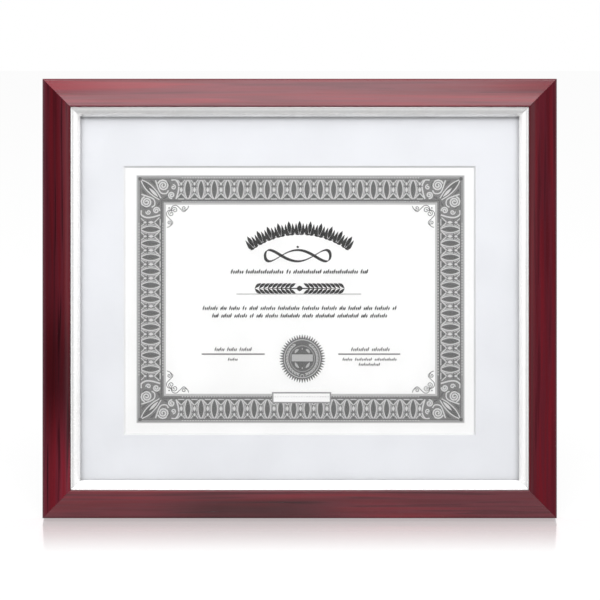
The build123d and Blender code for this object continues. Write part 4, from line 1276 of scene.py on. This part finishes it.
class FRAME_OT_ribbon(bpy.types.Operator):
    """Stretch the ribbon from the backing board to the leg"""

    bl_idname = "certificate_frame.ribbon"
    bl_label = "Ribbon"

    def execute(self, context):
        settings = context.scene.frame_hardware
        inner = LEG_INNER - RIBBON_MIDDLE
        on_leg = opened([[0, inner, RIBBON_LOW], [0, inner, RIBBON_LOW + RIBBON_FLAP]])[:, 1:]
        corners = np.array([(RIBBON_MIDDLE, RIBBON_LOW - RIBBON_FLAP), (RIBBON_MIDDLE, RIBBON_LOW), *on_leg])
        path = rounded(corners, [0, RIBBON_BEND, RIBBON_BEND, 0], steps=7)
        piece = self.band(path, settings)
        finish_piece(piece, "frame", "ribbon", ribbon_finish(settings), "easel_ribbon")
        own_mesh(piece)
        return {"FINISHED"}

    def band(self, path, settings):
        """The ribbon's section, a slab that is a little thicker near its edges, carried along the path:
        each point moves off it along the path's normal by half of its thickness."""
        ahead = np.gradient(path, axis=0)
        ahead /= np.linalg.norm(ahead, axis=1, keepdims=True)
        normal = np.stack([-ahead[:, 1], ahead[:, 0]], -1)
        edge = np.abs(RIBBON_ACROSS)
        thick = settings.ribbon_thickness * np.where(edge > RIBBON_EDGE, 1, RIBBON_THIN)
        thick = thick * np.where(edge == 1, RIBBON_TIP, 1)
        across = np.concatenate([RIBBON_ACROSS[::-1], RIBBON_ACROSS]) * settings.ribbon_width / 2
        off = np.concatenate([thick[::-1], -thick]) / 2
        places = path[:, None] + normal[:, None] * off[None, :, None]
        points = np.concatenate([np.broadcast_to(across[None, :, None], places.shape[:2] + (1,)), places], -1)
        rows, columns = points.shape[:2]
        faces = grid_faces(rows, columns, ring=True)
        return make_piece("woven_ribbon", points, faces, end_caps(rows, columns), smooth_angle=40)


class FRAME_OT_hardware_finishes(bpy.types.Operator):
    """Give the metal fittings their finishes"""

    bl_idname = "certificate_frame.hardware_finishes"
    bl_label = "Fittings"

    def execute(self, context):
        settings = context.scene.frame_hardware
        upright_lines, level_lines, wire_lines = (1, 1, 0.05), (0.05, 1, 1), (1, 0.1, 1)
        leaf = steel_finish("hinge_zinc", settings.zinc, settings.zinc_worn, upright_lines, roughness=0.26)
        stamped = steel_finish("stamped_zinc", settings.zinc, settings.zinc_worn, level_lines, roughness=0.3)
        wire = steel_finish("wire_steel", settings.wire, settings.zinc_worn, wire_lines, roughness=0.34)
        dress(leaf, "hinge_leaf_board", "hinge_leaf_leg", "hinge_pin")
        dress(stamped, "sawtooth_hanger", *(f"turn_button_{number}" for number in range(1, 7)))
        dress(wire, "corner_v_nails", "ribbon_staple_board", "ribbon_staple_leg")
        return {"FINISHED"}


# The stage, in metres: the floor, the lamp above the front, and black cards that only reflections see
FLOOR_REACH, FLOOR_DROP = 3.0, 0.0002
LAMP_WIDTH, LAMP_DEPTH, LAMP_RISE, LAMP_AWAY, LAMP_AIM = 1.9, 1.75, radians(51), 2.0, 0.17
CARD_FEET, CARD_HEIGHT = [(0.28, -0.9), (0.9, -0.54)], 1.5
CAMERA_ASIDE, CAMERA_LOW = 0.27, 1.15

# The floor: how white the camera sees it, the mirror image in front of the frame and where that fades, and
# the pink tint of its glow under the frame, a painted reflection of the wood
GLOW, GLOW_SHARE, GLOSS_LOSS = 1.14, 0.72, 0.17
MIRROR_SHARE, MIRROR_TINT, MIRROR_BLUR, UNDER_REFLECTION_TINT = 0.42, (1, 0.93, 0.94), 0.12, (1, 0.9, 0.91)
MIRROR_SIDE, UNDER_REFLECTION_SIDE = (0.2, 0.3, 1.0, 0.0), (0.193, 0.198, 1.0, 0.0)
MIRROR_FRONT, MIRROR_BACK = (-0.14, -0.05), (-0.045, -0.03, 1.0, 0.0)


def floor_finish(settings):
    """White studio floor: the camera sees it half lit and half glowing, so that the object's shadow stays.
    Close in front of the frame it holds a weak mirror image that fades out, and there its glow is tinted
    pink, a painted reflection of the wood."""
    finish = Finish("studio_floor")
    x, y, _ = finish.parts(finish.add("ShaderNodeTexCoord", out=3))
    near = finish.ranged(y, *MIRROR_FRONT) * finish.ranged(y, *MIRROR_BACK)
    near = near * finish.ranged(x.size(), *MIRROR_SIDE)
    seen, glossy, through = finish.rays()
    dimmed = finish.mixed(glossy * GLOSS_LOSS, settings.floor_colour, (0, 0, 0))
    matte = finish.shader("BsdfDiffuse", Color=dimmed)
    # painted reflection: the glow is tinted pink just in front of the frame, under the bottom rail
    painted_reflection = finish.mixed(near * finish.ranged(x.size(), *UNDER_REFLECTION_SIDE), (1, 1, 1), UNDER_REFLECTION_TINT)
    glow = finish.shader("Emission", Color=painted_reflection, Strength=GLOW)
    lit = finish.either(seen * GLOW_SHARE + through * GLOW_SHARE, matte, glow)
    mirror = finish.shader("BsdfGlossy", Color=MIRROR_TINT, Roughness=MIRROR_BLUR)
    return finish.ended(finish.either(near * seen * MIRROR_SHARE, lit, mirror))


def surround_finish(settings):
    """White for the camera, in reflections and through the glass, and a plain soft light for the object."""
    finish = Finish("surround", world=True)
    seen, glossy, through = finish.rays()
    soft = finish.shader("Background", Color=(1, 1, 1), Strength=settings.world)
    white = finish.shader("Background", Color=(1, 1, 1))
    return finish.ended(finish.either(seen.over(glossy).over(through), soft, white))


class FRAME_OT_studio(bpy.types.Operator):
    """Set up the floor, the soft lamp, the surround and the camera"""

    bl_idname = "certificate_frame.studio"
    bl_label = "Studio"

    def execute(self, context):
        settings = context.scene.frame_stage
        x, y = np.meshgrid([-FLOOR_REACH, FLOOR_REACH], [FLOOR_REACH, -FLOOR_REACH])
        self.stage("floor", x, y, 0 * x - FLOOR_DROP, floor_finish(settings))
        card = Finish("black_card").surface(Base_Color=(0.005, 0.005, 0.005), Roughness=0.9)
        for side in (-1, 1):
            feet = np.array(CARD_FEET) * [side, 1]
            x, z = np.meshgrid(feet[:, 0], [0.0, CARD_HEIGHT])
            flag = self.stage(f"black_card_{side + 1}", x, 0 * x + feet[:, 1], z, card)
            flag.visible_camera = flag.visible_diffuse = flag.visible_shadow = False

        data = bpy.data.cameras.new("camera")
        data.sensor_width = 36.0
        data.lens = data.sensor_width * settings.distance / settings.across
        data.clip_end = 50
        aim = lean([CAMERA_ASIDE, -RAIL_EDGE_DEPTH, FRAME_HEIGHT / 2 - CAMERA_LOW])
        place = aim - np.array([0, LEAN_COS, -LEAN_SIN]) * settings.distance
        context.scene.camera = self.hang(context, "camera", data, place, radians(90 - LEAN_ANGLE))

        lamp = bpy.data.lights.new("top_lamp", "AREA")
        lamp.shape, lamp.size, lamp.size_y = "RECTANGLE", LAMP_WIDTH, LAMP_DEPTH
        lamp.energy = settings.key
        place = np.array([0, -cos(LAMP_RISE) * LAMP_AWAY, LAMP_AIM + sin(LAMP_RISE) * LAMP_AWAY])
        self.hang(context, "top_lamp", lamp, place, pi / 2 - LAMP_RISE)
        context.scene.world = surround_finish(settings)
        context.scene.view_settings.view_transform = "Standard"
        return {"FINISHED"}

    def stage(self, name, x, y, z, material):
        """A flat sheet of the stage, from the places of its four corners in metres."""
        sheet = make_piece(name, np.stack([x, y, z], -1), grid_faces(2, 2), in_place=True)
        sheet.data.materials.append(material)
        return sheet

    def hang(self, context, name, data, place, tilt):
        """A camera or lamp at its place, tilted up from straight down."""
        hung = bpy.data.objects.new(name, data)
        hung.location = place.tolist()
        hung.rotation_euler = (tilt, 0, 0)
        context.scene.collection.objects.link(hung)
        return hung


OPERATORS = [
    FRAME_OT_studio,
    FRAME_OT_wood_rails,
    FRAME_OT_silver_liners,
    FRAME_OT_pack_finishes,
    FRAME_OT_printed_border,
    FRAME_OT_printed_middle,
    FRAME_OT_printed_seal,
    FRAME_OT_fasteners,
    FRAME_OT_ribbon,
    FRAME_OT_hardware_finishes,
]


class FRAME_PT_sidebar(bpy.types.Panel):
    """The certificate frame's operators"""

    bl_label = "Certificate Frame"
    bl_idname = "FRAME_PT_sidebar"
    bl_space_type = "VIEW_3D"
    bl_region_type = "UI"
    bl_category = "Certificate Frame"

    def draw(self, context):
        for operator in OPERATORS:
            self.layout.operator(operator.bl_idname)
        for group, kind in SETTINGS.items():
            box = self.layout.box()
            for name in kind.__annotations__:
                box.prop(getattr(context.scene, group), name)


def register():
    for kind in [*SETTINGS.values(), *OPERATORS, FRAME_PT_sidebar]:
        bpy.utils.register_class(kind)
    for name, kind in SETTINGS.items():
        setattr(bpy.types.Scene, name, bpy.props.PointerProperty(type=kind))


def unregister():
    for name in SETTINGS:
        delattr(bpy.types.Scene, name)
    for kind in [FRAME_PT_sidebar, *reversed(OPERATORS), *reversed(SETTINGS.values())]:
        bpy.utils.unregister_class(kind)


def main():
    register()
    for operator in OPERATORS:
        group, name = operator.bl_idname.split(".")
        getattr(getattr(bpy.ops, group), name)()


if __name__ == "__main__":
    main()
